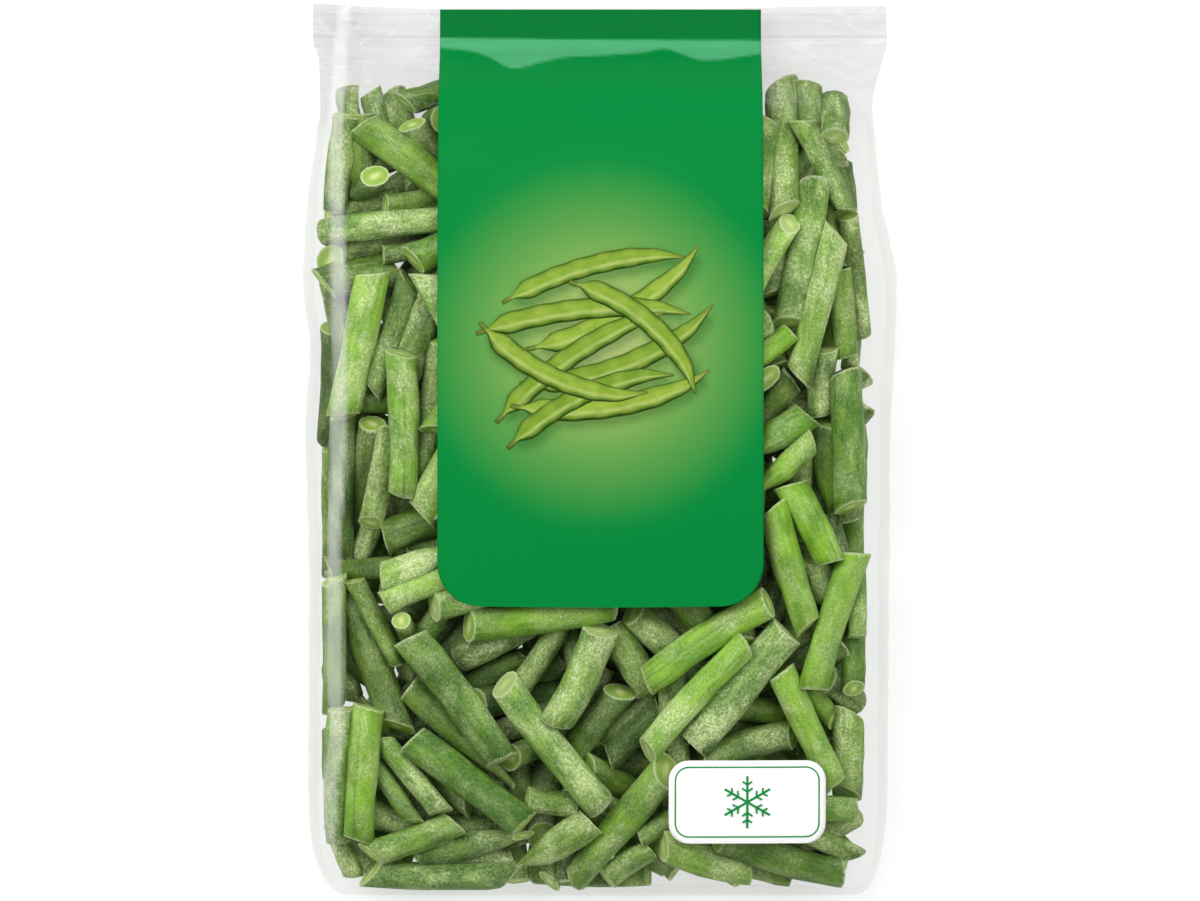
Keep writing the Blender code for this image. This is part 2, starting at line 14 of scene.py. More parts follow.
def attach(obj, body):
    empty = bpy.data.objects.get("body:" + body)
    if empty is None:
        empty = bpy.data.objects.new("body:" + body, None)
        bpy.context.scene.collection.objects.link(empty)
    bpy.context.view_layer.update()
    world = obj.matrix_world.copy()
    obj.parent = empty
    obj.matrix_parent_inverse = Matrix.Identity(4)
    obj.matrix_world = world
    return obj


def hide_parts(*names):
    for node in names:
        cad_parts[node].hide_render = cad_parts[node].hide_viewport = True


MM = 0.001

# The bag
BAG_LENGTH = 267.0
FILM = 0.4  # wall of the pouch, thicker than real film so that it is a sound solid
HEADER_SEAL = 10.5  # the welded strip at the open end
SUNK = 1.4  # how far the round underside is pressed flat where the bag lies
TOP_END = BAG_LENGTH / 2
BOTTOM_END = -BAG_LENGTH / 2
CAVITY_TOP = TOP_END - HEADER_SEAL - 2.0  # where the two walls of film part

# Edges and thickness of the filled bag at stations along it: (y, value)
LEFT_EDGE = ((BOTTOM_END, -78), (-131, -81), (-126, -84), (-118, -86.4), (-105, -87.3), (-33, -87),
             (6, -88.2), (31, -86.7), (49, -88.8), (75, -87.6), (105, -84), (117, -84.6),
             (123, -86.4), (TOP_END, -86.7))
RIGHT_EDGE = ((BOTTOM_END, 78), (-131, 81), (-126, 83.2), (-118, 85), (-105, 86.1), (-33, 86.6),
              (6, 87), (31, 88.2), (49, 88.8), (75, 84.3), (105, 81.8), (117, 84.9),
              (123, 86.5), (TOP_END, 86.4))
UNDERSIDE = ((BOTTOM_END, 8), (-131, 3.6), (-126, 0.3), (-116, -SUNK), (70, -SUNK), (98, -0.8),
             (108, 0.7), (116, 3.6), (122, 6.4), (TOP_END, 5.0))
FRONT = ((BOTTOM_END, 20), (-131, 26), (-126, 30.5), (-114, 36.5), (-90, 40), (-30, 41.5),
         (30, 41), (70, 38.5), (95, 33), (108, 25), (116, 14.6), (122, 7.4), (TOP_END, 6.0))
FILLED_ROUNDNESS = 3.2  # 2 is an ellipse, more is boxier
SEAL_ROUNDNESS = 2.2

# The printed panel and the plain white patch on the front
PANEL = {"left": -48.3, "right": 48.6, "bottom": -46.0, "top": 132.6, "corner": 12.5}
PATCH = {"left": 20.4, "right": 67.2, "bottom": -117.0, "top": -92.1, "corner": 6.0}
SKIN_GAP = 0.35
SKIN = 0.3

# The beans
BEAN_COUNT = 384
INNER_COUNT = 84  # the innermost beans, which no one can see: they hold their place but aren't made
SHORTEST, LONGEST = 24.0, 45.0
THINNEST, THICKEST = 7.6, 10.4
CORNER = 1.06  # corners of a bean's section, in radii, so that its flats come near the true round
SHORT = 0.5  # a bean's axis stops this share of its radius short of each cut end
PRESSED = 0.86  # beans frozen together come this near, in the sum of their radii
TOUCHING = 0.89  # and are taken to be joined within this
CLEAR = 1.12  # and beans of the two masses this near, plus the gap
APART = 0.35  # gap between the two frozen masses, and to the film
ROUNDS = 420
SEED = 11

# Beans that show at the front of the bag, as the two ends' x, y, then thickness and depth:
# depth 0 lies against the film, 1 under one bean, 2 under two.
FRONT_BEANS = (
    (-64, 107, -53, 80, 8, 1), (-68, 108, -63, 90, 8, 2), (-58, 104, -39, 109, 9, 1),
    (-76, 97, -44, 79, 10, 0), (-79, 99, -79, 71, 9, 1), (-64, 73, -44, 79, 7, 1),
    (-83, 65, -44, 70, 8.5, 0), (-64, 57, -42, 63, 7, 1), (-66, 43, -50, 57, 9, 2),
    (-83, 49, -61, 50, 10, 1), (-67, 53, -76, 11, 10, 0), (-56, 50, -68, 19, 8.5, 1),
    (-49, 46, -56, 29, 10, 2), (-59, 29, -60, -13, 9, 0), (-49, 34, -51, -9, 8, 1),
    (-75, 11, -78, -32, 9.5, 1), (-80, 2, -81, -36, 7.5, 2), (-80, 37, -81, 3, 7, 2),
    (-61, 6, -68, -21, 8, 1), (-66, -18, -72, -36, 7.5, 2), (-64, -26, -39, -17, 10, 1),
    (-65, -38, -43, -29, 9, 0), (-64, -43, -48, -37, 8, 2), (-78, -38, -59, -82, 11, 1),
    (-74, -39, -61, -64, 7, 1), (-80, -38, -81, -77, 8.5, 1), (-81, -68, -70, -76, 9, 2),
    (-77, -78, -81, -118, 8.5, 0), (-69, -76, -74, -116, 9.5, 0), (-82, -84, -83, -105, 7, 2),
    (-65, -88, -48, -110, 9, 1), (-56, -86, -23, -112, 10.5, 0), (-68, -94, -56, -112, 6, 1),
    (-70, -109, -52, -118, 8.5, 2), (-53, -119, -24, -116, 9, 1), (-68, -125, -26, -127, 8.5, 0),
    (-80, -112, -79, -127, 8, 1), (-73, -112, -73, -128, 8, 1), (-56, -55, -28, -91, 10.5, 0),
    (-57, -71, -27, -102, 9, 1), (-42, -39, -53, -57, 7, 1), (-39, -52, 4, -49, 10, 0),
    (-41, -62, -17, -52, 8, 1), (-41, -72, -21, -62, 7.5, 2), (-13, -52, -24, -72, 8.5, 1),
    (-2, -52, -13, -80, 10.5, 0), (-28, -70, -4, -109, 9.5, 0), (5, -72, -12, -95, 10, 1),
    (0, -65, -6, -80, 8, 2), (5, -53, 15, -72, 10, 1), (12, -45, 30, -59, 9, 2),
    (14, -68, 50, -45, 9, 0), (14, -89, 43, -58, 8.5, 0), (26, -86, 55, -53, 11, 0),
    (18, -72, 2, -89, 9, 2), (-5, -90, 12, -101, 9, 2), (-3, -101, 8, -108, 8, 1),
    (20, -95, -7, -127, 10.5, 0), (-5, -110, -23, -128, 10, 0), (-22, -104, -10, -96, 8, 1),
    (0, -126, 16, -127, 8, 1), (6, -118, 26, -126, 10, 1), (13, -110, 30, -106, 8, 1),
    (18, -116, 43, -125, 10, 0), (40, -121, 79, -127, 10, 0), (56, -114, 79, -119, 7, 1),
    (58, -105, 80, -107, 9.5, 0), (55, -65, 69, -100, 9, 0), (52, -17, 61, -53, 10, 0),
    (79, -32, 62, -71, 9, 0), (68, -67, 79, -74, 9, 1), (76, -53, 77, -72, 8, 1),
    (65, -70, 69, -81, 7.5, 1), (76, -79, 73, -102, 10, 1), (38, -76, 57, -79, 8, 2),
    (33, -92, 59, -86, 10, 1), (52, 111, 55, 70, 10, 0), (68, 109, 64, 93, 9, 1),
    (59, 96, 78, 73, 8.5, 0), (70, 90, 74, 77, 8.5, 2), (76, 85, 78, 71, 7, 2),
    (65, 80, 57, 38, 9, 0), (71, 65, 59, 22, 8.5, 0), (77, 71, 79, 35, 7, 1),
    (73, 54, 74, 28, 8.5, 1), (75, 23, 77, -17, 10, 0), (68, 30, 65, 11, 9, 1),
    (61, 12, 42, -1, 10.5, 0), (64, 1, 45, -13, 8, 0), (69, 9, 69, -17, 8.5, 1),
    (57, -13, 74, -33, 10, 0), (70, -20, 75, -32, 7.5, 2), (64, -33, 67, -45, 8, 1),
    (51, 70, 52, 48, 9, 1), (52, 42, 55, 24, 9, 2), (80, -36, 78, -57, 6, 1),
)
# Beans that point out at the front, as x, y of the near end, x, y of the far one, and thickness
POINTING_BEANS = (
    (-77, 104, -78, 98, 9.5), (-51, 94, -51, 98, 9), (-68, 82, -72, 75, 9), (74, 98, 78, 103, 9.5),
    (50, 21, 44, 21, 8.5), (-59, -51, -57, -57, 6),
)
POINTING_DEPTH = 17.0


def slopes(points):
    """The slope of a smooth curve at each point, level where the values turn."""
    steps = [(b[1] - a[1]) / (b[0] - a[0]) for a, b in zip(points, points[1:])]
    middle = [2 * p * q / (p + q) if p * q > 0 else 0.0 for p, q in zip(steps, steps[1:])]
    return [steps[0], *middle, steps[-1]]


def through(points, y):
    """The value at y of a smooth curve through points, which are (y, value) with y rising."""
    places = [p[0] for p in points]
    k = min(max(sum(place <= y for place in places) - 1, 0), len(points) - 2)
    (y0, v0), (y1, v1) = points[k : k + 2]
    s0, s1 = slopes(points)[k : k + 2]
    span = y1 - y0
    t = min(max((y - y0) / span, 0.0), 1.0)
    rise = t * t * (3 - 2 * t)
    return v0 + (v1 - v0) * rise + span * t * (1 - t) * ((1 - t) * s0 - t * s1)


def section(y):
    """Centre x and z, half width, half height and roundness of the bag where it is cut at y."""
    left, right = through(LEFT_EDGE, y), through(RIGHT_EDGE, y)
    low, high = through(UNDERSIDE, y), through(FRONT, y)
    flatness = min(max((y - 105.0) / (CAVITY_TOP - 105.0), 0.0), 1.0)
    roundness = FILLED_ROUNDNESS + (SEAL_ROUNDNESS - FILLED_ROUNDNESS) * flatness
    return (left + right) / 2, (low + high) / 2, (right - left) / 2, (high - low) / 2, roundness


def front_height(x, y):
    """Height of the bag's front at x, y."""
    centre_x, centre_z, half_width, half_height, roundness = section(y)
    across = min(abs(x - centre_x) / half_width, 1.0)
    return centre_z + half_height * (1 - across**roundness) ** (1 / roundness)


class Beans:
    """Every bean as the two ends of its axis, its thickness, and the frozen mass that it is in."""

    def __init__(self):
        self.near, self.far, self.radius = [], [], []
        self.held, self.lift, self.mass = [], [], []

    def add(self, near, far, thickness, *firmness):
        near, far = np.array(near, float).round(6), np.array(far, float).round(6)
        trim = (far - near) * (SHORT * thickness / 2 / math.dist(near, far))
        for kept, value in zip(vars(self).values(), (near + trim, far - trim, thickness / 2, *firmness)):
            kept.append(value)

    def finish(self):
        for name, values in vars(self).items():
            setattr(self, name, np.array(values, float))
        self.length = np.sqrt(((self.far - self.near) ** 2).sum(1))
        self.start = self.near.copy(), self.far.copy()


FRONT_MASS, BACK_MASS, INNER = 0, 1, 2
LAYER = 8.5  # each bean that lies over another puts it this much deeper
HELD = 0.3  # how firmly a bean at the front keeps its place in the photo's view
FRONT_EASE = 0.3  # how readily it gives way to a bean behind it
LEFT_ROOM, RIGHT_ROOM = 0.6, 4.0  # empty film that stands out past the beans at each side
TRIES = 14  # places tried for each bean behind the front ones, of which it takes the emptiest


def strewn_bean(draw):
    """A bean at random inside the bag: its two ends and its thickness."""
    while True:
        y = draw.uniform(-125, 103)
        x = draw.uniform(through(LEFT_EDGE, y) + 7, through(RIGHT_EDGE, y) - 7)
        under_panel = PANEL["left"] < x < PANEL["right"] and y > PANEL["bottom"]
        top = front_height(x, y) - (5 if under_panel else 18)
        z = draw.uniform(5, 37)
        if z < top:
            break
    length = draw.triangular(SHORTEST, LONGEST, 37)
    heading, tilt = draw.uniform(0, math.pi), draw.gauss(0, math.radians(9))
    half = Vector((math.cos(heading), math.sin(heading), math.tan(tilt))).normalized() * length / 2
    middle = Vector((x, y, z))
    return middle - half, middle + half, draw.uniform(THINNEST, THICKEST)


def emptiness(beans, near, far, thickness):
    """The least room between a new bean and those placed so far, in their thicknesses."""
    trial = Beans()
    trial.near, trial.far = [*beans.near, near], [*beans.far, far]
    trial.radius, trial.held, trial.lift, trial.mass = [*beans.radius, thickness / 2], [], [], []
    trial.finish()
    last = len(beans.radius)
    others = np.arange(last)
    apart = nearest_points(trial, others, np.full(last, last))[2]
    both = trial.radius[:last] + trial.radius[last]
    return (np.sqrt((apart**2).sum(1)) / both).min()


def first_places(room):
    """Beans at the front where they show, and the rest strewn through the bag behind them."""
    draw = random.Random(SEED)
    beans = Beans()
    for x1, y1, x2, y2, thickness, depth in FRONT_BEANS:
        sink = thickness / 2 + 1 + LAYER * depth
        ends = [(x, y, front_height(x, y) - sink) for x, y in ((x1, y1), (x2, y2))]
        beans.add(*ends, thickness, HELD, 0.0, FRONT_MASS)
    for x1, y1, x2, y2, thickness in POINTING_BEANS:
        top = front_height(x1, y1) - thickness / 2 - 1
        beans.add((x1, y1, top), (x2, y2, top - POINTING_DEPTH), thickness, HELD, 0.0, FRONT_MASS)
    while len(beans.near) < BEAN_COUNT:
        trials = [strewn_bean(draw) for _ in range(TRIES)]
        kept = [room.fit(*trial) for trial in trials]
        near, far, thickness = max(kept, key=lambda trial: emptiness(beans, *trial))
        middle = (near + far) / 2
        in_front = middle[2] > 0.5 * front_height(middle[0], middle[1])
        mass, lift = (FRONT_MASS, 0.06) if in_front else (BACK_MASS, -0.06)
        beans.add(near, far, thickness, 0.0, lift, mass)
    beans.finish()
    return beans


def nearest_points(beans, i, j):
    """For pairs i, j of beans: how far along each axis they come nearest, and the vector from j to i."""
    along_i, along_j = beans.far[i] - beans.near[i], beans.far[j] - beans.near[j]
    apart = beans.near[i] - beans.near[j]
    a, e = (along_i**2).sum(1), (along_j**2).sum(1)
    b, c, f = (along_i * along_j).sum(1), (along_i * apart).sum(1), (along_j * apart).sum(1)
    s = ((b * f - c * e) / np.maximum(a * e - b * b, 1e-9)).clip(0, 1)
    t = (b * s + f) / e
    s = np.where(t < 0, (-c / a).clip(0, 1), np.where(t > 1, ((b - c) / a).clip(0, 1), s))
    t = t.clip(0, 1)
    return s, t, apart + along_i * s[:, None] - along_j * t[:, None]


class Inside:
    """The room inside the bag, from tables of its sections.

    The tables are rounded, and what uses them only adds, multiplies, divides and takes square
    roots, so that the beans fall the same way on every computer.
    """

    def __init__(self):
        self.y = np.arange(BOTTOM_END, TOP_END, 0.5)
        self.rows = np.array([[round(value, 6) for value in section(y)] for y in self.y])
        self.steps = np.linspace(0, 1, 401)
        self.boxy, self.plain = (
            np.array([round((1 - step**n) ** (1 / n), 6) for step in self.steps])
            for n in (FILLED_ROUNDNESS, SEAL_ROUNDNESS)
        )

    def keep(self, points, radius):
        """Points moved so that a ball of the radius about each lies inside the film.

        A point keeps its place across the bag and moves up or down, unless it is past the side.
        Its own section counts, and one nearer the end of the bag, where the film is closer.
        """
        room = FILM + APART + 0.5 + (CLEAR - 1) * radius
        header = self.y > 60
        half_heights = self.rows[:, 3]
        last = np.interp(-(room + radius + 0.3), -half_heights[header], self.y[header])
        ahead = np.where(points[:, 1] > 0, 1.2, 0.9) * radius
        y = points[:, 1].clip(BOTTOM_END + room + radius, last - ahead)
        x, z = points[:, 0], points[:, 2]
        for where in (y + ahead * (y / 60).clip(-1, 1), y):
            centre_x, centre_z, half_width, half_height, n = (
                np.interp(where, self.y, column) for column in self.rows.T
            )
            wide, high = half_width - room - radius, np.maximum(half_height - room - radius, 0.2)
            x = (x - centre_x).clip(LEFT_ROOM - 0.99 * wide, 0.99 * wide - RIGHT_ROOM) + centre_x
            across = np.abs(x - centre_x) / wide
            boxiness = (n - SEAL_ROUNDNESS) / (FILLED_ROUNDNESS - SEAL_ROUNDNESS)
            arch = np.interp(across, self.steps, self.boxy) * boxiness
            arch += np.interp(across, self.steps, self.plain) * (1 - boxiness)
            z = (z - centre_z).clip(-high * arch, high * arch) + centre_z
        return np.stack([x, y, np.maximum(z, room + radius)], 1)

    def fit(self, near, far, thickness):
        """A bean moved as a whole until it lies inside the film."""
        ends = np.array([near, far], float)
        half = (ends[1] - ends[0]) / 2
        middle = (ends[0] + ends[1]) / 2
        for _ in range(6):
            kept = self.keep(np.array([middle - half, middle + half]), thickness / 2)
            middle = (kept[0] + kept[1]) / 2
        return middle - half, middle + half, thickness


def sideways(axis, share, apart):
    """Whether beans meet at their sides there, not by a cut end."""
    slant = np.abs((axis * apart).sum(1)) / np.sqrt((axis**2).sum(1) * (apart**2).sum(1))
    return ((share > 0) & (share < 1)) | (slant < 0.5)


def loose_pairs(beans, i, j):
    """For each clump that touches no other bean of its mass, the nearest pair that could join it."""
    s, t, apart = nearest_points(beans, i, j)
    near = np.sqrt((apart**2).sum(1)) / (beans.radius[i] + beans.radius[j])
    beside = sideways(beans.far[i] - beans.near[i], s, apart)
    beside &= sideways(beans.far[j] - beans.near[j], t, apart)
    beside &= (beans.mass[i] == beans.mass[j]) & (beans.mass[i] != INNER)
    clump = list(range(len(beans.radius)))
    for k in np.flatnonzero(beside & (near < TOUCHING)):
        one, other = clump[i[k]], clump[j[k]]
        if one != other:
            clump = [one if c == other else c for c in clump]
    main = {max(set(clump), key=lambda c: sum(k == c for k, m in zip(clump, beans.mass) if m == mass))
            for mass in (FRONT_MASS, BACK_MASS)}
    ties = []
    inner = {c for c, mass in zip(clump, beans.mass) if mass == INNER}
    for loose in sorted(set(clump) - main - inner):
        edge = [k for k in np.flatnonzero(beside) if (clump[i[k]] == loose) != (clump[j[k]] == loose)]
        if edge:
            best = min(edge, key=lambda k: near[k])
            ties.append((i[best], j[best]))
    return ties


def set_inner_apart(beans):
    """Marks the beans that lie deepest in the bag, away from its film on every side."""
    middle = (beans.near + beans.far) / 2
    depth = np.array([
        min(front_height(x, y) - z, z, 87 - abs(x), 133 + y, (120 - y) / 2) for x, y, z in middle
    ]).round(3)
    front_rows = len(FRONT_BEANS) + len(POINTING_BEANS)
    depth[:front_rows] = 0
    beans.mass[np.argsort(-depth, kind="stable")[:INNER_COUNT]] = INNER


def spread(beans, room):
    """Moves beans that lie through each other apart, round by round, inside the bag.

    Late on, clumps that have come loose are tied to their nearest neighbours.
    """
    everyone = np.triu_indices(len(beans.radius), 1)
    tied = set()
    for turn in range(ROUNDS):
        if turn == ROUNDS // 2:
            set_inner_apart(beans)
        if turn % 15 == 0:
            middle = (beans.near + beans.far) / 2
            gap = np.sqrt(((middle[everyone[0]] - middle[everyone[1]]) ** 2).sum(1))
            reach = (beans.length[everyone[0]] + beans.length[everyone[1]]) / 2 + 14
            i, j = everyone[0][gap < reach], everyone[1][gap < reach]
            both = beans.radius[i] + beans.radius[j]
            same = (beans.mass[i] == beans.mass[j]) | (beans.mass[i] == INNER) | (beans.mass[j] == INNER)
            wanted = np.where(same, PRESSED * both, CLEAR * both + APART)
            if turn > ROUNDS // 2:
                tied.update(loose_pairs(beans, i, j))
            pull = np.array([-1.0 if pair in tied else 0.0 for pair in zip(i, j)])
        calm = max(1 - turn / (0.85 * ROUNDS), 0.0)
        s, t, apart = nearest_points(beans, i, j)
        distance = np.maximum(np.sqrt((apart**2).sum(1)), 1e-6)
        push = (wanted - distance).clip(pull, 3)
        move = apart / distance[:, None] * (0.7 * push)[:, None]
        ease = np.where(beans.held > 0, FRONT_EASE, 1.0)
        for index, share, way in ((i, s, ease[i]), (j, t, -ease[j])):
            part_move = move * (way / (ease[i] + ease[j]))[:, None]
            np.add.at(beans.near, index, part_move * (1 - share)[:, None])
            np.add.at(beans.far, index, part_move * share[:, None])
        for ends, start in ((beans.near, beans.start[0]), (beans.far, beans.start[1])):
            ends += (beans.held * calm)[:, None] * (start - ends)
            ends[:, 2] += beans.lift * calm
        for _ in range(2):
            middle = (beans.near + beans.far) / 2
            along = beans.far - beans.near
            along *= (beans.length / 2 / np.sqrt((along**2).sum(1)))[:, None]
            beans.near = room.keep(middle - along, beans.radius)
            beans.far = room.keep(middle + along, beans.radius)


def leave_out_clashes(beans):
    """Marks a bean of the back mass as inner where it still comes too near one of the front mass."""
    i, j = np.triu_indices(len(beans.radius), 1)
    apart = nearest_points(beans, i, j)[2]
    near = np.sqrt((apart**2).sum(1)) < CORNER * (beans.radius[i] + beans.radius[j]) + 0.3
    for k in np.flatnonzero(near & (beans.mass[i] != beans.mass[j])):
        if INNER not in (beans.mass[i[k]], beans.mass[j[k]]):
            beans.mass[i[k] if beans.mass[i[k]] == BACK_MASS else j[k]] = INNER

# Node trees

class Flow:
    """What comes out of a node. Sums with it, and its methods, add the nodes that work them out."""

    def __init__(self, tree, socket):
        self.tree, self.socket = tree, socket

    def maths(self, operation, *others):
        """This with the others, where a number is taken for each part of a vector."""
        kind = "ShaderNodeMath"
        if self.socket.type == "VECTOR":
            kind = "ShaderNodeVectorMath"
            others = [(other,) * 3 if isinstance(other, float) else other for other in others]
        inputs = dict(enumerate((self, *others)))
        return node(self.tree, kind, inputs, int(operation == "LENGTH"), operation=operation)

    __add__, __sub__ = partialmethod(maths, "ADD"), partialmethod(maths, "SUBTRACT")
    __mul__, __abs__ = partialmethod(maths, "MULTIPLY"), partialmethod(maths, "ABSOLUTE")

    def __rsub__(self, other):
        return self * -1.0 + other

    def clamped(self):
        """Keeps this sum within 0 and 1."""
        self.socket.node.use_clamp = True
        return self

    def parts(self):
        return [node(self.tree, "ShaderNodeSeparateXYZ", {0: self}, part) for part in range(3)]

    def grey(self):
        return node(self.tree, "ShaderNodeCombineColor", dict.fromkeys(range(3), self))

    def ramp(self, low, high, start=0.0, end=1.0):
        """Takes this from low..high to start..end, smoothly and no further."""
        inputs = {0: self, 1: low, 2: high, 3: start, 4: end}
        return node(self.tree, "ShaderNodeMapRange", inputs, interpolation_type="SMOOTHSTEP")

    def speckle(self, scale, detail=2.0, roughness=0.5):
        """Noise at this place."""
        inputs = {"Vector": self, "Scale": scale, "Detail": detail, "Roughness": roughness}
        return node(self.tree, "ShaderNodeTexNoise", inputs)

    def bump(self, strength, distance):
        """The normal of a surface with this relief."""
        return node(self.tree, "ShaderNodeBump", {"Strength": strength, "Distance": distance, "Height": self})

    def blend(self, one, other):
        """One colour where this is 0 and the other where it is 1. Tuples are screen colours."""
        one, other = (srgb(*colour) if isinstance(colour, tuple) else colour for colour in (one, other))
        return node(self.tree, "ShaderNodeMix", {0: self, 6: one, 7: other}, 2, data_type="RGBA")

    def darkened(self, colour):
        """This colour times another, as the shader's own."""
        inputs = {0: 1.0, 6: self, 7: colour}
        return node(self.tree, "ShaderNodeMix", inputs, 2, data_type="RGBA", blend_type="MULTIPLY")

    def bands(self, *stops):
        """Screen colours at stops from 0 to 1, with smooth steps between them."""
        made = node(self.tree, "ShaderNodeValToRGB", {0: self})
        elements = made.socket.node.color_ramp.elements
        elements[0].color, elements[1].color = srgb(*stops[0][1]), srgb(*stops[-1][1])
        for place, colour in stops[1:-1]:
            elements.new(place).color = srgb(*colour)
        return made


def feed(tree, socket, value):
    """Links what comes out of a node to an input, or sets the input's own value."""
    if isinstance(value, Flow):
        tree.links.new(value.socket, socket)
    else:
        socket.default_value = value


def node(tree, kind, inputs=(), out=0, **settings):
    """Adds a node with its settings and inputs."""
    made = tree.nodes.new(kind)
    for name, value in settings.items():
        setattr(made, name, value)
    for key, value in dict(inputs).items():
        feed(tree, made.inputs[key], value)
    return Flow(tree, made.outputs[out])


VECTOR, NUMBER = 1, 2  # the outputs of an attribute


def attribute(tree, name, out=NUMBER):
    return node(tree, "ShaderNodeAttribute", out=out, attribute_name=name)


def object_place(tree):
    return node(tree, "ShaderNodeTexCoord", out=3)


def srgb(red, green, blue):
    """A colour read off a screen, as the shader's own."""
    straight = [v / 255 for v in (red, green, blue)]
    return (*[v / 12.92 if v < 0.04045 else ((v + 0.055) / 1.055) ** 2.4 for v in straight], 1.0)


def new_material(name):
    material = bpy.data.materials.new(name)
    material.use_nodes = True
    return material, material.node_tree


def surface(tree, **inputs):
    """Sets or links the inputs of the tree's own shader by name, with _ for a space."""
    shader = tree.nodes["Principled BSDF"]
    for name, value in inputs.items():
        feed(tree, shader.inputs[name.replace("_", " ")], value)
    return Flow(tree, shader.outputs[0])


# Materials

INK_DEPTH = (0.7, 0.7, 0.7, 1.0)  # share of their screen colours that the inks have, for the light on them


def bean_material(name, deep, light):
    """Frozen bean skin: mottled green under grains and patches of frost, with pale cut faces."""
    material, tree = new_material(name)
    side, half, look = (attribute(tree, key, VECTOR) for key in ("side", "half", "look"))
    # Tone and frost of each bean carry painted shade: beans deeper under the film are drawn darker and less
    # frosted
    tone_and_shade, frost, hue = look.parts()
    across, around, along = side.parts()
    # Each bean's own place in metres, shifted by its look so that no two are alike
    own, shift = side * half, look * 3.0
    body = own + shift
    streaks = (own * (1, 1, 0.22) + shift).speckle(520.0, 3.0, 0.55)
    clouds = body.speckle(110.0, 3.0)
    green = hue + clouds.ramp(0.3, 0.7, -0.28, 0.28) + streaks.ramp(0.35, 0.65, -0.16, 0.16)
    # Each bean's own tone, with its painted shade, darkens its skin
    skin = green.clamped().blend(deep, light).darkened(tone_and_shade.grey())
    # The pod's seam, a thin line along one side
    wander = abs((clouds - 0.5) * 0.4 + across)
    seam = wander.ramp(0.03, 0.1, 0.4, 0.0) * around.maths("GREATER_THAN", 0.0)
    skin = seam.blend(skin, (34, 70, 10))
    # Frost lies in patches, in grains and here and there along the skin
    patches = (own * (1, 1, 0.6) + shift).speckle(120.0, 3.0, 0.6).ramp(0.4, 0.64)
    grains = body.speckle(1250.0, 3.0, 0.8).ramp(0.4, 0.64)
    thick = patches * (grains * 0.42 + 0.26) + grains * 0.24 + streaks.ramp(0.5, 0.68) * 0.1
    veil = (frost * (thick + 0.06)).clamped()
    crystals = body.speckle(1500.0, 1.5).ramp(0.61, 0.71, 0.0, 0.7) * (frost * (patches * 0.7 + 0.3))
    skin = crystals.clamped().blend(veil.blend(skin, (210, 227, 160)), (244, 248, 234))
    # The cut face: a pale rim, green flesh and a yellowish middle round the seeds
    core = (side * (0.75, 1.25, 0)).maths("LENGTH") + (grains - 0.5) * 0.12
    flesh = core.bands((0, (224, 232, 160)), (0.22, (208, 222, 138)), (0.4, (166, 198, 92)),
                       (0.7, (150, 188, 80)), (1, (160, 194, 96)))
    flesh = frost.ramp(0.6, 1.2, 0.0, 0.5).blend(flesh, (206, 220, 158))
    rim = (side * (1, 1, 0)).maths("LENGTH").ramp(0.8, 0.93)
    flesh = (rim * 0.8).blend(flesh, (212, 224, 176))
    end = abs(along)
    ragged = (grains - 0.5) * 0.03 + end
    skin = ragged.ramp(0.955, 0.99, 0.0, 0.72).blend(skin, (202, 216, 164))
    skin = end.ramp(0.9985, 0.9995).blend(skin, flesh)
    relief = grains * 0.4 + streaks * 0.9 + seam * -1.2
    surface(tree, Base_Color=skin, Roughness=veil.ramp(0.0, 0.4, 0.42, 0.8),
            Normal=relief.bump(0.45, 0.0004), Specular_IOR_Level=0.28)
    return material


# Lines pressed across the header: y in metres, width and depth
SEAL_LINES = (
    (0.1250, 0.0006, 0.05), (0.1222, 0.0004, 0.022), (0.1318, 0.0005, 0.03), (0.1290, 0.0009, 0.012),
)


def film_material():
    """Clear film: lightly grey, milky white where a sheen and crease highlights are painted into it, with
    fine lines pressed into its seal.
    """
    material, tree = new_material("clear_film")
    place, painted_sheen, pressed = object_place(tree), attribute(tree, "painted_sheen"), attribute(tree, "grey")
    up = place.parts()[1]
    for y, width, depth in SEAL_LINES:
        pressed += abs(up - y).ramp(width * 0.3, width, depth, 0.0)
    in_header = up.ramp(0.098, 0.112)
    streaks = (place * (0.35, 2.2, 1)).speckle(260.0, 3.0).ramp(0.42, 0.68, 0.0, 0.02)
    clarity = (0.965 - (pressed + in_header * streaks)).clamped()
    # Painted highlights along creases in the header
    crease_highlights = abs((place * (0.5, 1.5, 1)).speckle(75.0) - 0.5).ramp(0.0, 0.03, 0.11, 0.0) * in_header
    gloss = node(tree, "ShaderNodeFresnel", {"IOR": 1.38}) - 0.02
    # The white share is the film's gloss plus its painted sheen and painted crease highlights
    share = (gloss * 0.13 + painted_sheen + crease_highlights).clamped()
    crinkle = (place * (0.6, 1.0, 1.0)).speckle(45.0)
    white = surface(tree, Base_Color=srgb(248, 248, 247), Roughness=0.2, Normal=crinkle.bump(0.1, 0.002),
                    Specular_IOR_Level=0.5)
    clear = node(tree, "ShaderNodeBsdfTransparent", {0: clarity.grey()})
    mixed = node(tree, "ShaderNodeMixShader", {0: share, 1: clear, 2: white})
    feed(tree, tree.nodes["Material Output"].inputs[0], mixed)
    return material


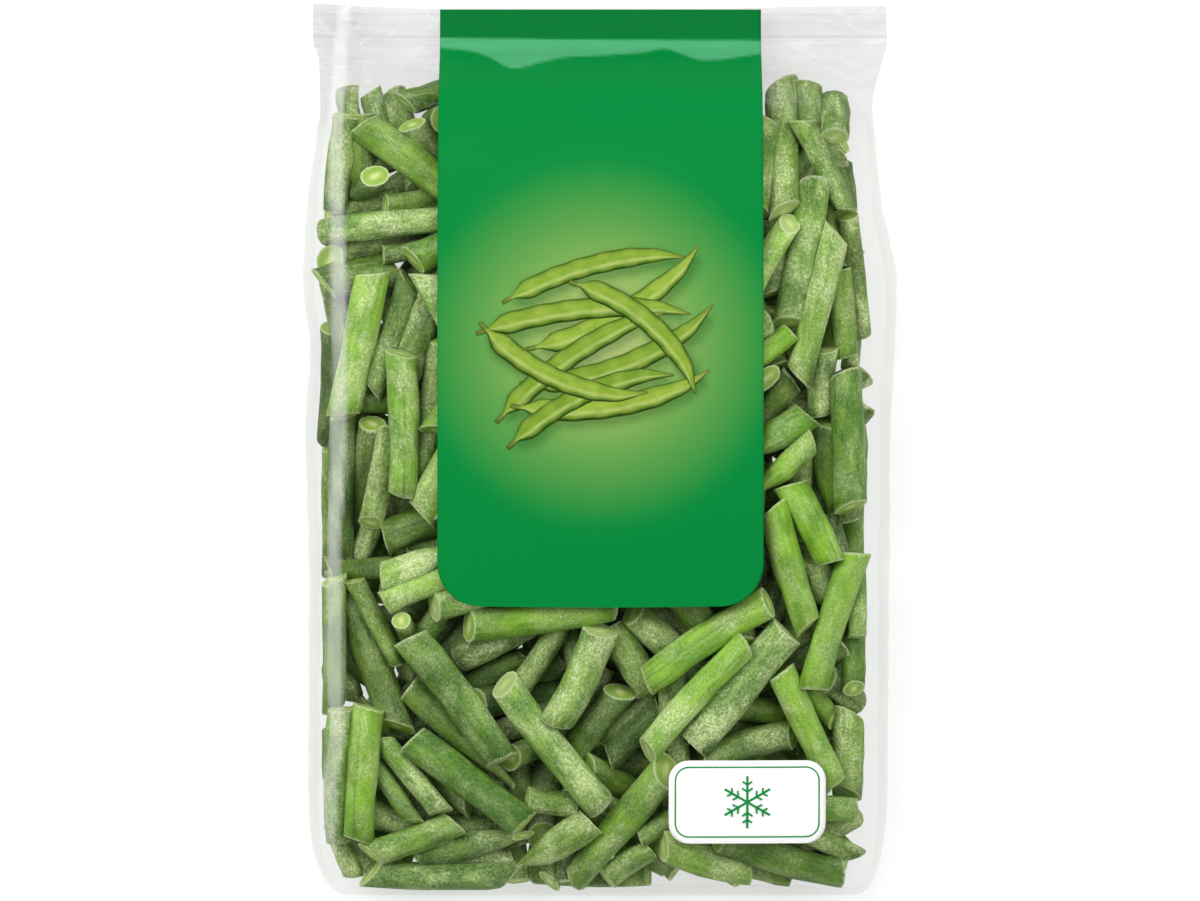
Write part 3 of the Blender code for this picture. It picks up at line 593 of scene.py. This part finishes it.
def panel_material():
    """Green print: a yellow-green glow in its middle, a darker seal, and under it a painted sheen along a
    crease.
    """
    material, tree = new_material("print")
    place = object_place(tree)
    from_glow = ((place - (0, 0.0315, 0)) * (1, 1, 0)).maths("LENGTH")
    ink = from_glow.maths("DIVIDE", 0.06).bands(
        (0, (204, 217, 138)), (0.3, (164, 198, 108)), (0.5, (120, 179, 87)), (0.63, (95, 169, 80)),
        (0.78, (59, 159, 70)), (0.87, (28, 152, 68)), (0.93, (4, 148, 65)), (1, (0, 147, 65)))
    up = place.parts()[1]
    lines = (place * (0.2, 3.0, 1)).speckle(420.0)
    seal = up.ramp(0.1238, 0.1250, 0.0, 0.92) * lines.ramp(0.35, 0.65, 0.86, 1.0)
    # Painted sheen: the pale band along the crease under the seal
    crease_sheen = attribute(tree, "painted_sheen") * lines.ramp(0.3, 0.7, 0.9, 1.0)
    for share, colour in ((up.ramp(-0.046, 0.0, 0.1, 0.0), (0, 132, 58)),
                          (attribute(tree, "shade"), (22, 96, 34)),
                          (seal, (1, 124, 54)), (crease_sheen, (92, 190, 134))):
        ink = share.blend(ink, colour)
    fine = place.speckle(900.0)
    surface(tree, Base_Color=ink.darkened(INK_DEPTH), Roughness=fine.ramp(0.3, 0.7, 0.46, 0.56),
            Normal=fine.bump(0.06, 0.0005), Specular_IOR_Level=0.04)
    return material


def plain_print(name, colour):
    """Print in one ink, a little uneven, as film takes it."""
    material, tree = new_material(name)
    place = object_place(tree)
    uneven = place.speckle(90.0).ramp(0.35, 0.65, 1.0, 0.975).grey()
    surface(tree, Base_Color=uneven.darkened(srgb(*colour)), Roughness=0.5,
            Normal=place.speckle(700.0).bump(0.03, 0.0003), Specular_IOR_Level=0.25)
    return material


def pod_material():
    """Printed pods: fresh green, darker at the edges, with a light line and a browner stalk and tip."""
    material, tree = new_material("printed_pods")
    strip = attribute(tree, "strip", VECTOR)
    across, along, number = strip.parts()
    hue = node(tree, "ShaderNodeCombineXYZ", {0: number}).speckle(1.7, 1.0)
    body = hue.ramp(0.35, 0.65).blend((126, 168, 46), (164, 196, 66))
    seeds = (along * 46.0).maths("SINE")
    fade = (strip * (1.2, 9, 3)).speckle(1.5, 3.0)
    for share, colour in (
        (abs(across - 0.1).ramp(0.3, 1.05, 0.0, 0.9), (70, 118, 32)),
        (abs(across + 0.32).ramp(0.04, 0.3, 0.6, 0.0), (206, 222, 132)),
        (seeds.ramp(-0.6, 1.0, 0.0, 0.22), (186, 208, 96)),
        (fade.ramp(0.4, 0.7, 0.0, 0.35), (98, 146, 40)),
        (along.ramp(0.9, 1.0, 0.0, 0.7), (120, 128, 52)),
        (along.ramp(0.035, 0.07, 0.75, 0.0), (92, 112, 44)),
    ):
        body = share.blend(body, colour)
    surface(tree, Base_Color=body.darkened(INK_DEPTH), Roughness=0.48, Specular_IOR_Level=0.1)
    return material


# Meshes

def mesh_object(name, points, faces, material, smooth=True):
    """An object from points in millimetres, with its place in its mesh."""
    mesh = bpy.data.meshes.new(name)
    mesh.from_pydata([tuple(MM * v for v in p) for p in points], [], faces)
    mesh.polygons.foreach_set("use_smooth", [smooth] * len(mesh.polygons))
    mesh.materials.append(material)
    made = bpy.data.objects.new(name, mesh)
    bpy.context.scene.collection.objects.link(made)
    return made


def give(mesh, name, values, kind="FLOAT"):
    """Stores a value or vector on each point of a mesh."""
    field = "value" if kind == "FLOAT" else "vector"
    layer = mesh.attributes.new(name, kind, "POINT")
    layer.data.foreach_set(field, np.asarray(values, np.float32).ravel())


def tube(rings, count, closed=False):
    """Faces that join each ring of points to the next, and then close both ends or join them."""
    total = rings * count
    faces = []
    for a in range(0, total if closed else total - count, count):
        b = (a + count) % total
        faces += [(a + k, b + k, b + (k + 1) % count, a + (k + 1) % count) for k in range(count)]
    for k in range(0 if closed else count // 2 - 1):
        cap = k, k + 1, count - 2 - k, count - 1 - k
        faces += [cap, tuple(total - count + v for v in reversed(cap))]
    return faces


def joined(parts):
    """The points and faces of several meshes as one."""
    points, faces = [], []
    for own, own_faces in parts:
        faces += [tuple(len(points) + v for v in face) for face in own_faces]
        points += own
    return points, faces


def within(value, low=0.0, high=1.0):
    return min(max(value, low), high)


def ripple(x, y, wave_x, wave_y, seed):
    """Smooth noise from -1 to 1 at x, y, its waves that long in each direction."""
    return noise.noise(Vector((x / wave_x, y / wave_y, seed)))


def crumple(x, y):
    """How far the front of the film stands out of its smooth form at x, y."""
    header = math.exp(-(((y - 117) / 9) ** 2))
    shoulder = math.exp(-(((y - 100) / 16) ** 2))
    sides = min(abs(x) / 80, 1.0) ** 4
    pleats = ripple(x, y, 9, 40, 3.1) * 1.1 * header
    folds = ripple(x + 0.4 * y, y, 24, 18, 7.7) * 0.9 * shoulder
    waves = ripple(x, y, 30, 14, 1.3) * 0.8 * sides
    slack = ripple(x, y, 38, 30, 5.5) * 0.35
    return (pleats + folds + waves + slack) * within((CAVITY_TOP + 2 - y) / 3)


def on_film(x, y, lift):
    """A point of the print, that far above the crumpled front of the film and its gap."""
    return x, y, front_height(x, y) + crumple(x, y) + SKIN_GAP + lift


AROUND, ALONG = 176, 190  # points of the film round and along the bag
CROWDED = 0.12  # share of a half turn left out at each end, so that rows lie closer near the ends
# The painted highlight of a long fold in the film down the left, as y and x
STREAK = ((BOTTOM_END, -82), (-115, -81), (-95, -80), (-82, -78.5), (-70, -79), (-33, -79.3), (0, -78),
          (45, -77.6), (75, -78.6), (118, -78.4), (TOP_END, -77))


def film_painted_sheen(x, y):
    """How strong the painted sheen on the front film is at x, y: a painted highlight along a fold down the
    left, and some in the header.
    """
    width = 2.5 + 0.8 * ripple(0, y, 20, 22, 4.4)
    off = (x - through(STREAK, y) - 0.5 * ripple(0, y, 30, 16, 8.8)) / width
    strong = 0.34 + 0.12 * ripple(0, y, 10, 34, 2.2)
    fold_highlight = strong * within(1.15 - off * off, 0.0, 0.8) * within((y + 128) / 12)
    return fold_highlight + within((y - 96) / 14) * max(0.10 * ripple(x + 0.6 * y, y, 16, 9, 6.1) + 0.02, 0.0)


def film_grey(x, y):
    """How much light the film keeps back: most where it is doubled over at its upper left corner."""
    header = 0.06 + 0.05 * within((-60 - x) / 18) + 0.016 * within(x / 50) + 0.012 * ripple(x, y, 26, 8, 9.4)
    return max(0.012 + 0.008 * ripple(x, y, 40, 22, 2.6) + within((y - 92) / 20) * header, 0.0)


def header_lift(x, y):
    """How far the header's top edge stands up: most at its two corners."""
    corner = 1.5 * within((-45 - x) / 38) ** 2 + 0.9 * within((x - 40) / 44)
    return (corner + 0.25 * ripple(x, 0, 40, 1, 4.0)) * within((y - 112) / 21) ** 2


def clear_film(material):
    """The bag as one closed skin of film with its crumples, header seal and folds."""
    turns = math.pi * np.linspace(CROWDED, 1 - CROWDED, ALONG)
    ys = BOTTOM_END * np.cos(turns) / math.cos(math.pi * CROWDED)
    points, painted_sheen, grey = [], [], []
    for y in ys.tolist():
        centre_x, centre_z, half_width, half_height, roundness = section(y)
        for k in range(AROUND):
            angle = 2 * math.pi * (k + 0.5) / AROUND
            c, s = math.cos(angle), math.sin(angle)
            x = centre_x + half_width * math.copysign(abs(c) ** (2 / roundness), c)
            z = centre_z + half_height * math.copysign(abs(s) ** (2 / roundness), s)
            bulge = crumple(x, y) * within(2 * s)
            out = 0.7 * ripple(z, y, 22, 12, 2.9) * abs(c) ** 6 * min((TOP_END - y) / 15, 1.0)
            points.append((x + math.copysign(out, c), y + header_lift(x, y), max(z + bulge, 0.0)))
            # Painted sheen, on the front film only
            painted_sheen.append(film_painted_sheen(x, y) if s > 0 else 0.0)
            grey.append(film_grey(x, y))
    made = mesh_object("clear_film_bag", points, tube(ALONG, AROUND), material)
    give(made.data, "painted_sheen", painted_sheen)
    give(made.data, "grey", grey)
    return made


# Print

def print_skin(name, edges, columns, rows, round_top, material, sag=0.0):
    """A skin of print that follows the film's front, with round corners and a real thickness."""
    left, right, bottom, top, corner = edges.values()
    middle, half = (left + right) / 2, (right - left) / 2
    points, flat = [], []
    for row in range(rows + 1):
        y = bottom + (top - bottom) * (0.5 - 0.5 * math.cos(math.pi * row / rows))
        past = max(bottom + corner - y, y - top + corner if round_top else 0.0, 0.0)
        reach = half - corner + math.sqrt(max(corner**2 - past**2, 0.0))
        for way, lift in ((-1, SKIN), (1, 0.0)):
            for column in range(columns + 1):
                x = middle + way * reach * (2 * column / columns - 1)
                dip = sag * (1 - ((x - middle) / half) ** 2) * max(0.0, 1 - (y - bottom) / 15)
                flat.append((x, y - dip))
                points.append(on_film(*flat[-1], lift))
    return mesh_object(name, points, tube(rows + 1, 2 * columns + 2), material), flat


# The lower and upper edge of the painted sheen along the crease across the panel, as x and y
CREASE_SHEEN_LOW = ((-49, 121.2), (-39, 120.2), (-33, 118.0), (-26.1, 114.5), (-18, 116.5), (-9, 118.3), (0, 118.7),
              (12, 119.6), (19.5, 120.9), (22.5, 120.0), (30, 117.4), (33, 117.2), (42, 118.3), (49, 119.4))
CREASE_SHEEN_HIGH = ((-49, 124.8), (0, 124.2), (49, 123.9))


def panel_sheen(x, y):
    """The painted sheen: a pale band where the film of the panel bends under the seal."""
    low = through(CREASE_SHEEN_LOW, x) + 0.2 * ripple(x, 0, 6, 1, 1.7)
    high = through(CREASE_SHEEN_HIGH, x) + 0.15 * ripple(x, 0, 9, 1, 3.9)
    return within((y - low) / 0.7) * within((high - y) / 0.5) * (0.94 + 0.12 * ripple(x, y, 12, 3, 6.6))


# Whole pods printed on the panel: x and y of the middle, heading in degrees, length, bend, width
PODS = (
    (-2, 51, 15, 56, 4, 6.0), (4, 45, 30, 60, -5, 6.2), (-5, 38, 6, 64, 4, 6.4), (5, 31, 21, 62, -6, 6.4),
    (-6, 25, 34, 60, 4, 6.2), (3, 18, 9, 60, -5, 6.4), (-3, 12, 25, 54, 5, 6.0), (10, 34, -40, 50, 6, 6.2),
    (-11, 27, -24, 54, -6, 6.2),
)
POD_ROWS = 30


def pointing(degrees):
    turn = math.radians(degrees)
    return Vector((math.cos(turn), math.sin(turn)))


def pod_line(pod, t):
    """Where the middle of a pod runs at a share t of its length."""
    x, y, heading, length, bend, _ = pod
    bow = bend * (1 - (2 * t - 1) ** 2) - 0.22 * bend * max(t - 0.86, 0) / 0.14
    return Vector((x, y)) + pointing(heading) * (t - 0.5) * length + pointing(heading + 90) * bow


def pod_girth(pod, t):
    """Half width of a pod at a share t of its length: a stalk, a neck, a long body and a thin tip."""
    if t < 0.07:
        girth = 0.2 + 0.05 * math.sin(t * 45)
    else:
        body = min((t - 0.07) / 0.07, 1.0) ** 0.6 * (1 - max((t - 0.62) / 0.38, 0.0) ** 2.2)
        girth = max(body * (1 + 0.035 * math.sin(t * 46)), 0.09)
    return pod[5] / 2 * girth


def printed_pods(material):
    """The sheaf of pods as thin closed strips of print, one over the other."""
    ring = [(k / 3 - 1, 1) for k in range(7)] + [(k / 3 - 1, 0) for k in range(5, 0, -1)]
    parts, strip = [], []
    for layer, pod in enumerate(PODS):
        points = []
        for t in np.linspace(0, 1, POD_ROWS + 1).tolist():
            ahead = pod_line(pod, t + 0.01) - pod_line(pod, t - 0.01)
            sideways = Vector((-ahead.y, ahead.x)).normalized() * pod_girth(pod, t)
            for across, top in ring:
                x, y = pod_line(pod, t) + sideways * across
                lift = 0.05 + 0.04 * layer + 0.02 * top * (1 - across * across)
                points.append(on_film(x, y, SKIN + lift))
                strip.append((across, t, layer))
        parts.append((points, tube(POD_ROWS + 1, len(ring))))
    made = mesh_object("printed_pod_sheaf", *joined(parts), material)
    give(made.data, "strip", strip, "FLOAT_VECTOR")
    return made


def pod_shade(flat):
    """How dark the soft shadow of the pods is at each point of the panel."""
    places = [(pod, t) for pod in PODS for t in np.linspace(0.07, 0.93, 24).tolist()]
    lines = np.array([pod_line(*place) for place in places])
    spots = np.array(flat) - (0.9, -1.3)
    off = np.hypot(*(spots[:, None] - lines).T).T - [pod_girth(*place) for place in places]
    return 0.5 * np.clip(1 - off.min(1) / 3.0, 0, 1) ** 1.6


def ribbon(path, width, lift, closed=False):
    """Points and faces of a thin ribbon of print that follows a path on the film."""
    ends = (path[-1], path[0]) if closed else (path[0], path[-1])
    line = [ends[0], *path, ends[1]]
    points = []
    for before, place, after in zip(line, path, line[2:]):
        ahead = (after - before).normalized()
        for across, top in ((-0.5, 1), (0.5, 1), (0.5, 0), (-0.5, 0)):
            x, y = place.x - ahead.y * width * across, place.y + ahead.x * width * across
            points.append(on_film(x, y, SKIN + lift + 0.04 * top))
    return points, tube(len(path), 4, closed)


def frost_mark(material):
    """A plain frost star and a thin frame printed in green on the white patch."""
    left, right, bottom, top, corner = PATCH.values()
    middle = Vector((left + right, bottom + top)) / 2
    round_corners = []
    across, up = (right - left) / 2 - corner, (top - bottom) / 2 - corner
    for quarter, way in enumerate(((across, up), (-across, up), (-across, -up), (across, -up))):
        centre = middle + Vector(way)
        round_corners += [centre + pointing(90 * quarter + 15 * step) * (corner - 2) for step in range(7)]
    frame_path = []
    for one, other in zip(round_corners, round_corners[1:] + round_corners[:1]):
        steps = 16 if (other - one).length > 2 else 1
        frame_path += [one.lerp(other, step / steps) for step in range(steps)]
    ribbons = [ribbon(frame_path, 0.45, 0.05, closed=True)]
    for arm in range(6):
        heading = 30 + 60 * arm
        out = pointing(heading)
        ribbons.append(ribbon([middle + out * far for far in (0.0, 2.6, 5.2, 7.8)], 0.7, 0.06 + 0.02 * arm))
        for far, long, turn in ((3.1, 1.9, -55), (3.1, 1.9, 55), (5.2, 1.7, -55), (5.2, 1.7, 55)):
            root = middle + out * far
            ribbons.append(ribbon([root, root + pointing(heading + turn) * long], 0.55, 0.2 + 0.02 * arm))
    return mesh_object("printed_frost_star", *joined(ribbons), material, smooth=False)


# Beans

def off_axes(near, far, points):
    """How far each point is from each bean's axis."""
    way = far - near
    share = ((points[:, None] - near) * way).sum(2) / np.maximum((way**2).sum(1), 1e-9)
    off = points[:, None] - near - share.clip(0, 1)[..., None] * way
    return np.sqrt((off**2).sum(2))


HIDING = 0.88  # share of a bean's radius within which it surely hides what is behind it


def covered(near, far, radius, spots):
    """Whether each spot has some bean over or under it."""
    return (off_axes(near[:, :2], far[:, :2], spots) < HIDING * radius).any(1)


# The short beans that fill gaps: how many at most, their radius and half length, how finely the bag
# is searched for gaps, and how near spots count as one gap
MOST_FILLERS, FILLER_RADIUS, FILLER_HALF, SEARCH_STEP, GAP_REACH = 110, 4.0, 8.5, 1.5, 6
# Painted shade: how light a bean is drawn at three depths under the film
SHADE_DEPTHS, SHADES = (5.8, 10.4, 16.5), (1.0, 0.67, 0.36)


def fill_gaps(beans, room):
    """Adds short beans deep in the bag, among the innermost, wherever one could see through it."""
    spots = []
    for y in np.arange(BOTTOM_END + 8, 99, SEARCH_STEP):
        left, right = through(LEFT_EDGE, float(y)) + 6, through(RIGHT_EDGE, float(y)) - 9
        spots += [(x, y) for x in np.arange(left, right, SEARCH_STEP)]
    bare = np.array(spots)
    bare = bare[~covered(beans.near, beans.far, beans.radius, bare)]
    for _ in range(MOST_FILLERS):
        if not len(bare):
            break
        apart = np.sqrt(((bare[:, None] - bare) ** 2).sum(2))
        x, y = bare[np.argmax((apart < GAP_REACH).sum(1))]
        top, low = front_height(float(x), float(y)) - 6.5, 3.5
        best = None
        for heading in np.linspace(0, math.pi, 12, endpoint=False):
            half = np.array([math.cos(heading), math.sin(heading), 0.0]) * FILLER_HALF
            for share in (0.3, 0.42, 0.54, 0.66):
                middle = np.array([x, y, low + (top - low) * share])
                near, far, _ = room.fit(middle - half, middle + half, 2 * FILLER_RADIUS + 1)
                steps = near + (far - near) * np.linspace(0, 1, 5)[:, None]
                free = (off_axes(beans.near, beans.far, steps) - beans.radius).min()
                hides = covered(near[None], far[None], np.array([FILLER_RADIUS]), bare).sum()
                score = min(free, FILLER_RADIUS - 0.1) + 0.07 * hides
                if best is None or score > best[0] + 1e-6:
                    best = score, near, far
        for name, value in zip(("near", "far", "radius", "mass"), (*best[1:], FILLER_RADIUS, INNER)):
            setattr(beans, name, np.append(getattr(beans, name), [value], axis=0))
        left_over = bare[~covered(beans.near[-1:], beans.far[-1:], beans.radius[-1:], bare)]
        bare = left_over if len(left_over) < len(bare) else bare[np.hypot(*(bare - (x, y)).T) > 1]


def bean_looks(beans, chosen):
    """Centre, turn, half sizes, bow, look and end of each chosen bean, from its axis and a seed."""
    rows = {name: [] for name in ("centre", "turn", "half", "bow", "look", "end")}
    for k in chosen:
        draw = random.Random(SEED * 1000 + int(k))
        near, far, radius = Vector(beans.near[k]), Vector(beans.far[k]), float(beans.radius[k])
        middle, axis = (near + far) / 2, far - near
        turn = axis.to_track_quat("Z", "Y")
        turn = turn @ Euler((0, 0, draw.uniform(0, math.tau))).to_quaternion()
        flat = draw.uniform(0.0, 0.14) if draw.random() < 0.65 else draw.uniform(0.16, 0.3)
        half_length = axis.length / 2 + SHORT * radius
        bow, skew, slant = draw.gauss(0, 0.9), draw.gauss(0, 0.5), draw.gauss(0, 0.3) * radius
        # Painted shade: the deeper a bean lies under the film, the darker it is drawn and the less its frost
        # shows
        deep = min(front_height(middle.x, middle.y) - middle.z, middle.z + SUNK)
        shade = float(np.interp(deep, SHADE_DEPTHS, SHADES))
        tone_and_shade = within(draw.gauss(1.0, 0.1), 0.75, 1.25) * shade
        frost = within(draw.gauss(0.95, 0.36), 0.5, 1.65) * (0.4 + 0.6 * shade)
        hue = draw.uniform(0.02, 0.72)
        # Most beans taper a little, and a few end in their own narrow tip
        taper = draw.uniform(0.6, 0.8) if draw.random() < 0.07 else draw.uniform(-0.04, 0.14)
        for values, value in zip(rows.values(), (
            middle * MM, turn.to_euler("XYZ"),
            (radius * (1 + flat * 0.45) * MM, radius * (1 - flat) * MM, half_length * MM),
            (bow * MM, skew * MM, slant * MM), (tone_and_shade, frost, hue),
            (taper, draw.gauss(0, 0.3) * radius * MM, 0.0),
        )):
            values.append(tuple(value))
    return rows


def bean_tree(material):
    """Puts a bar at each point and shapes it into a bean by the point's own values."""
    tree = bpy.data.node_groups.new("cut_beans", "GeometryNodeTree")
    for name, kind in (("Axes", "Geometry"), ("Sides", "Int"), ("Rings", "Int"), ("Unevenness", "Float"),
                       ("Seed", "Float")):
        tree.interface.new_socket(name, in_out="INPUT", socket_type="NodeSocket" + kind)
    tree.interface.new_socket("Beans", in_out="OUTPUT", socket_type="NodeSocketGeometry")
    given = tree.nodes.new("NodeGroupInput").outputs
    axes, sides, rings, unevenness, seed = (Flow(tree, given[k]) for k in range(5))
    bar = node(tree, "GeometryNodeMeshCylinder", {
        "Vertices": sides, "Side Segments": rings, "Fill Segments": 1, "Radius": 1.0, "Depth": 2.0,
    }, fill_type="TRIANGLE_FAN")
    top, bottom = (Flow(tree, bar.socket.node.outputs[name]) for name in ("Top", "Bottom"))
    round_side = node(tree, "FunctionNodeBooleanMath", {0: top, 1: bottom}, operation="NOR")
    bar = node(tree, "GeometryNodeSetShadeSmooth", {"Geometry": bar, "Selection": round_side})
    here = node(tree, "GeometryNodeInputPosition")
    bar = node(tree, "GeometryNodeStoreNamedAttribute", {"Geometry": bar, "Name": "side", "Value": here},
               data_type="FLOAT_VECTOR", domain="POINT")
    beans = node(tree, "GeometryNodeInstanceOnPoints", {"Points": axes, "Instance": bar})
    beans = node(tree, "GeometryNodeRealizeInstances", {0: beans})

    def own(name):
        return node(tree, "GeometryNodeInputNamedAttribute", {"Name": name}, data_type="FLOAT_VECTOR")

    (x, y, z), (half_x, half_y, half_z), (bow_x, bow_y, slant_x), (taper, slant_y, _) = (
        own(name).parts() for name in ("side", "half", "bow", "end")
    )
    square = z * z
    fourth = square * square
    eighth = fourth * fourth
    # Each bean is uneven in its own way, swells over its seeds and narrows a little at its ends
    place = own("side") * (0.8, 0.8, 2.4) + own("look") * 37.0
    lumps = (place + node(tree, "ShaderNodeCombineXYZ", {0: seed})).speckle(1.0) - 0.5
    swelling = (z * half_z * 680.0).maths("SINE")
    girth = lumps * unevenness + 0.985 + swelling * 0.02 + fourth * 0.02
    girth *= z.ramp(-0.1, 1.3) * taper * -1.3 + 1.0
    cut = (y * slant_y + x * slant_x) * eighth
    dent = z * eighth * (lumps * -0.0012)
    shaped = node(tree, "ShaderNodeCombineXYZ", {
        0: x * half_x * girth + bow_x * (0.4 - square),
        1: y * half_y * girth + bow_y * (square * z - z),
        2: z * half_z + cut + dent,
    })
    turn = node(tree, "FunctionNodeEulerToRotation", {0: own("turn")})
    placed = own("centre") + node(tree, "FunctionNodeRotateVector", {0: shaped, 1: turn})
    beans = node(tree, "GeometryNodeSetPosition", {"Geometry": beans, "Position": placed})
    beans = node(tree, "GeometryNodeSetMaterial", {"Geometry": beans, "Material": material})
    feed(tree, tree.nodes.new("NodeGroupOutput").inputs[0], beans)
    return tree


def bean_mass(name, rows, sides, rings, material):
    """One mesh of all the beans in rows."""
    axes = mesh_object(name, [(0, 0, 0)] * len(rows["centre"]), [], material)
    for key, values in rows.items():
        give(axes.data, key, values, "FLOAT_VECTOR")
    step = axes.modifiers.new("beans", "NODES")
    step.node_group = bean_tree(material)
    sockets = {s.name: s.identifier for s in step.node_group.interface.items_tree if s.in_out == "INPUT"}
    for key, value in (("Sides", sides), ("Rings", rings), ("Unevenness", 0.3), ("Seed", 2.0)):
        step[sockets[key]] = value
    return made_plain(axes)


def made_plain(thing):
    """Turns an object's modifiers into its own mesh."""
    graph = bpy.context.evaluated_depsgraph_get()
    mesh = bpy.data.meshes.new_from_object(thing.evaluated_get(graph))
    thing.modifiers.clear()
    thing.data = mesh
    mesh.name = thing.name
    return thing


# Floor, light and camera

WHITE = (1, 1, 1, 1)
FLOOR_REACH = 3000
SOFTBOXES = (  # name, place and size in metres, power in watts
    ("left_softbox", (-0.8, 0.5, 1.15), 0.8, 13.5), ("right_softbox", (0.95, 0.1, 1.15), 0.9, 8.0),
    ("top_softbox", (0.1, 1.0, 1.4), 0.9, 9.0),
)


def studio():
    """A pale floor, wide soft light from both sides and above, and the camera straight above."""
    material, tree = new_material("pale_floor")
    surface(tree, Base_Color=(0.39, 0.39, 0.39, 1), Roughness=0.9, Specular_IOR_Level=0.1,
            Emission_Color=WHITE, Emission_Strength=0.66)
    corners = [(x * FLOOR_REACH, y * FLOOR_REACH, -0.2) for x, y in ((-1, -1), (1, -1), (1, 1), (-1, 1))]
    floor = mesh_object("floor", corners, [(0, 1, 2, 3)], material, smooth=False)
    scene = bpy.context.scene
    scene.view_settings.view_transform = "Standard"
    scene.world = bpy.data.worlds.new("studio")
    scene.world.use_nodes = True
    light_all_round = scene.world.node_tree.nodes["Background"].inputs
    light_all_round[0].default_value, light_all_round[1].default_value = WHITE, 0.34
    for name, place, size, power in SOFTBOXES:
        lamp = bpy.data.lights.new(name, "AREA")
        lamp.shape, lamp.size, lamp.energy = "SQUARE", size, power
        light = bpy.data.objects.new(name, lamp)
        light.location = place
        light.rotation_euler = (-Vector(place)).to_track_quat("-Z", "Y").to_euler()
        scene.collection.objects.link(light)
    camera = bpy.data.cameras.new("camera")
    camera.sensor_width, camera.lens = 36.0, 200.0
    eye = bpy.data.objects.new("camera", camera)
    eye.location = (0, 0, 2.02)
    scene.collection.objects.link(eye)
    scene.camera = eye


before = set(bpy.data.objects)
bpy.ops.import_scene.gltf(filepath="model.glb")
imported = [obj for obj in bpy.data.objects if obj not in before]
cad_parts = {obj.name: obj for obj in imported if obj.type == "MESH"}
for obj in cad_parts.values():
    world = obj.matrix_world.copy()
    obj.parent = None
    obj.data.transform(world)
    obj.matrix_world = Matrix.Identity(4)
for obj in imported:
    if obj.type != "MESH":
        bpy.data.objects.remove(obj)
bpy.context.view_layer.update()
studio()
room = Inside()
beans = first_places(room)
spread(beans, room)
leave_out_clashes(beans)
fill_gaps(beans, room)
front, behind = np.flatnonzero(beans.mass == FRONT_MASS), np.flatnonzero(beans.mass != FRONT_MASS)
front_skin = bean_material("frozen_bean_front", (58, 120, 0), (136, 192, 4))
# The back copy of the bean skin is a little darker: painted shade for the beans that lie behind the front
# ones
back_skin = bean_material("frozen_bean_back", (56, 116, 0), (132, 186, 4))
front_beans = bean_mass("cut_beans_front", bean_looks(beans, front), 12, 6, front_skin)
back_beans = bean_mass("cut_beans_back", bean_looks(beans, behind), 10, 5, back_skin)
film = clear_film(film_material())
panel, panel_points = print_skin("green_print_panel", dict(PANEL, top=133.2), 96, 210, False,
                                 panel_material(), sag=0.6)
# The painted sheen along the panel's crease
give(panel.data, "painted_sheen", [panel_sheen(x, y) for x, y in panel_points])
give(panel.data, "shade", pod_shade(panel_points))
patch, _ = print_skin("white_print_patch", PATCH, 30, 24, True, plain_print("white", (250, 250, 249)))
pods = printed_pods(pod_material())
star = frost_mark(plain_print("green_ink", (0, 140, 62)))
for piece, stands_for, finish in (
    (front_beans, "beans_front", "frozen_bean_front"), (back_beans, "beans_back", "frozen_bean_back"),
    (film, "bag_film", "clear_film"), (panel, "printed_panel", "print"), (patch, "white_patch", "white"),
    (pods, None, "print"), (star, None, "print"),
):
    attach(piece, "root")
    if stands_for:
        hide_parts(stands_for)
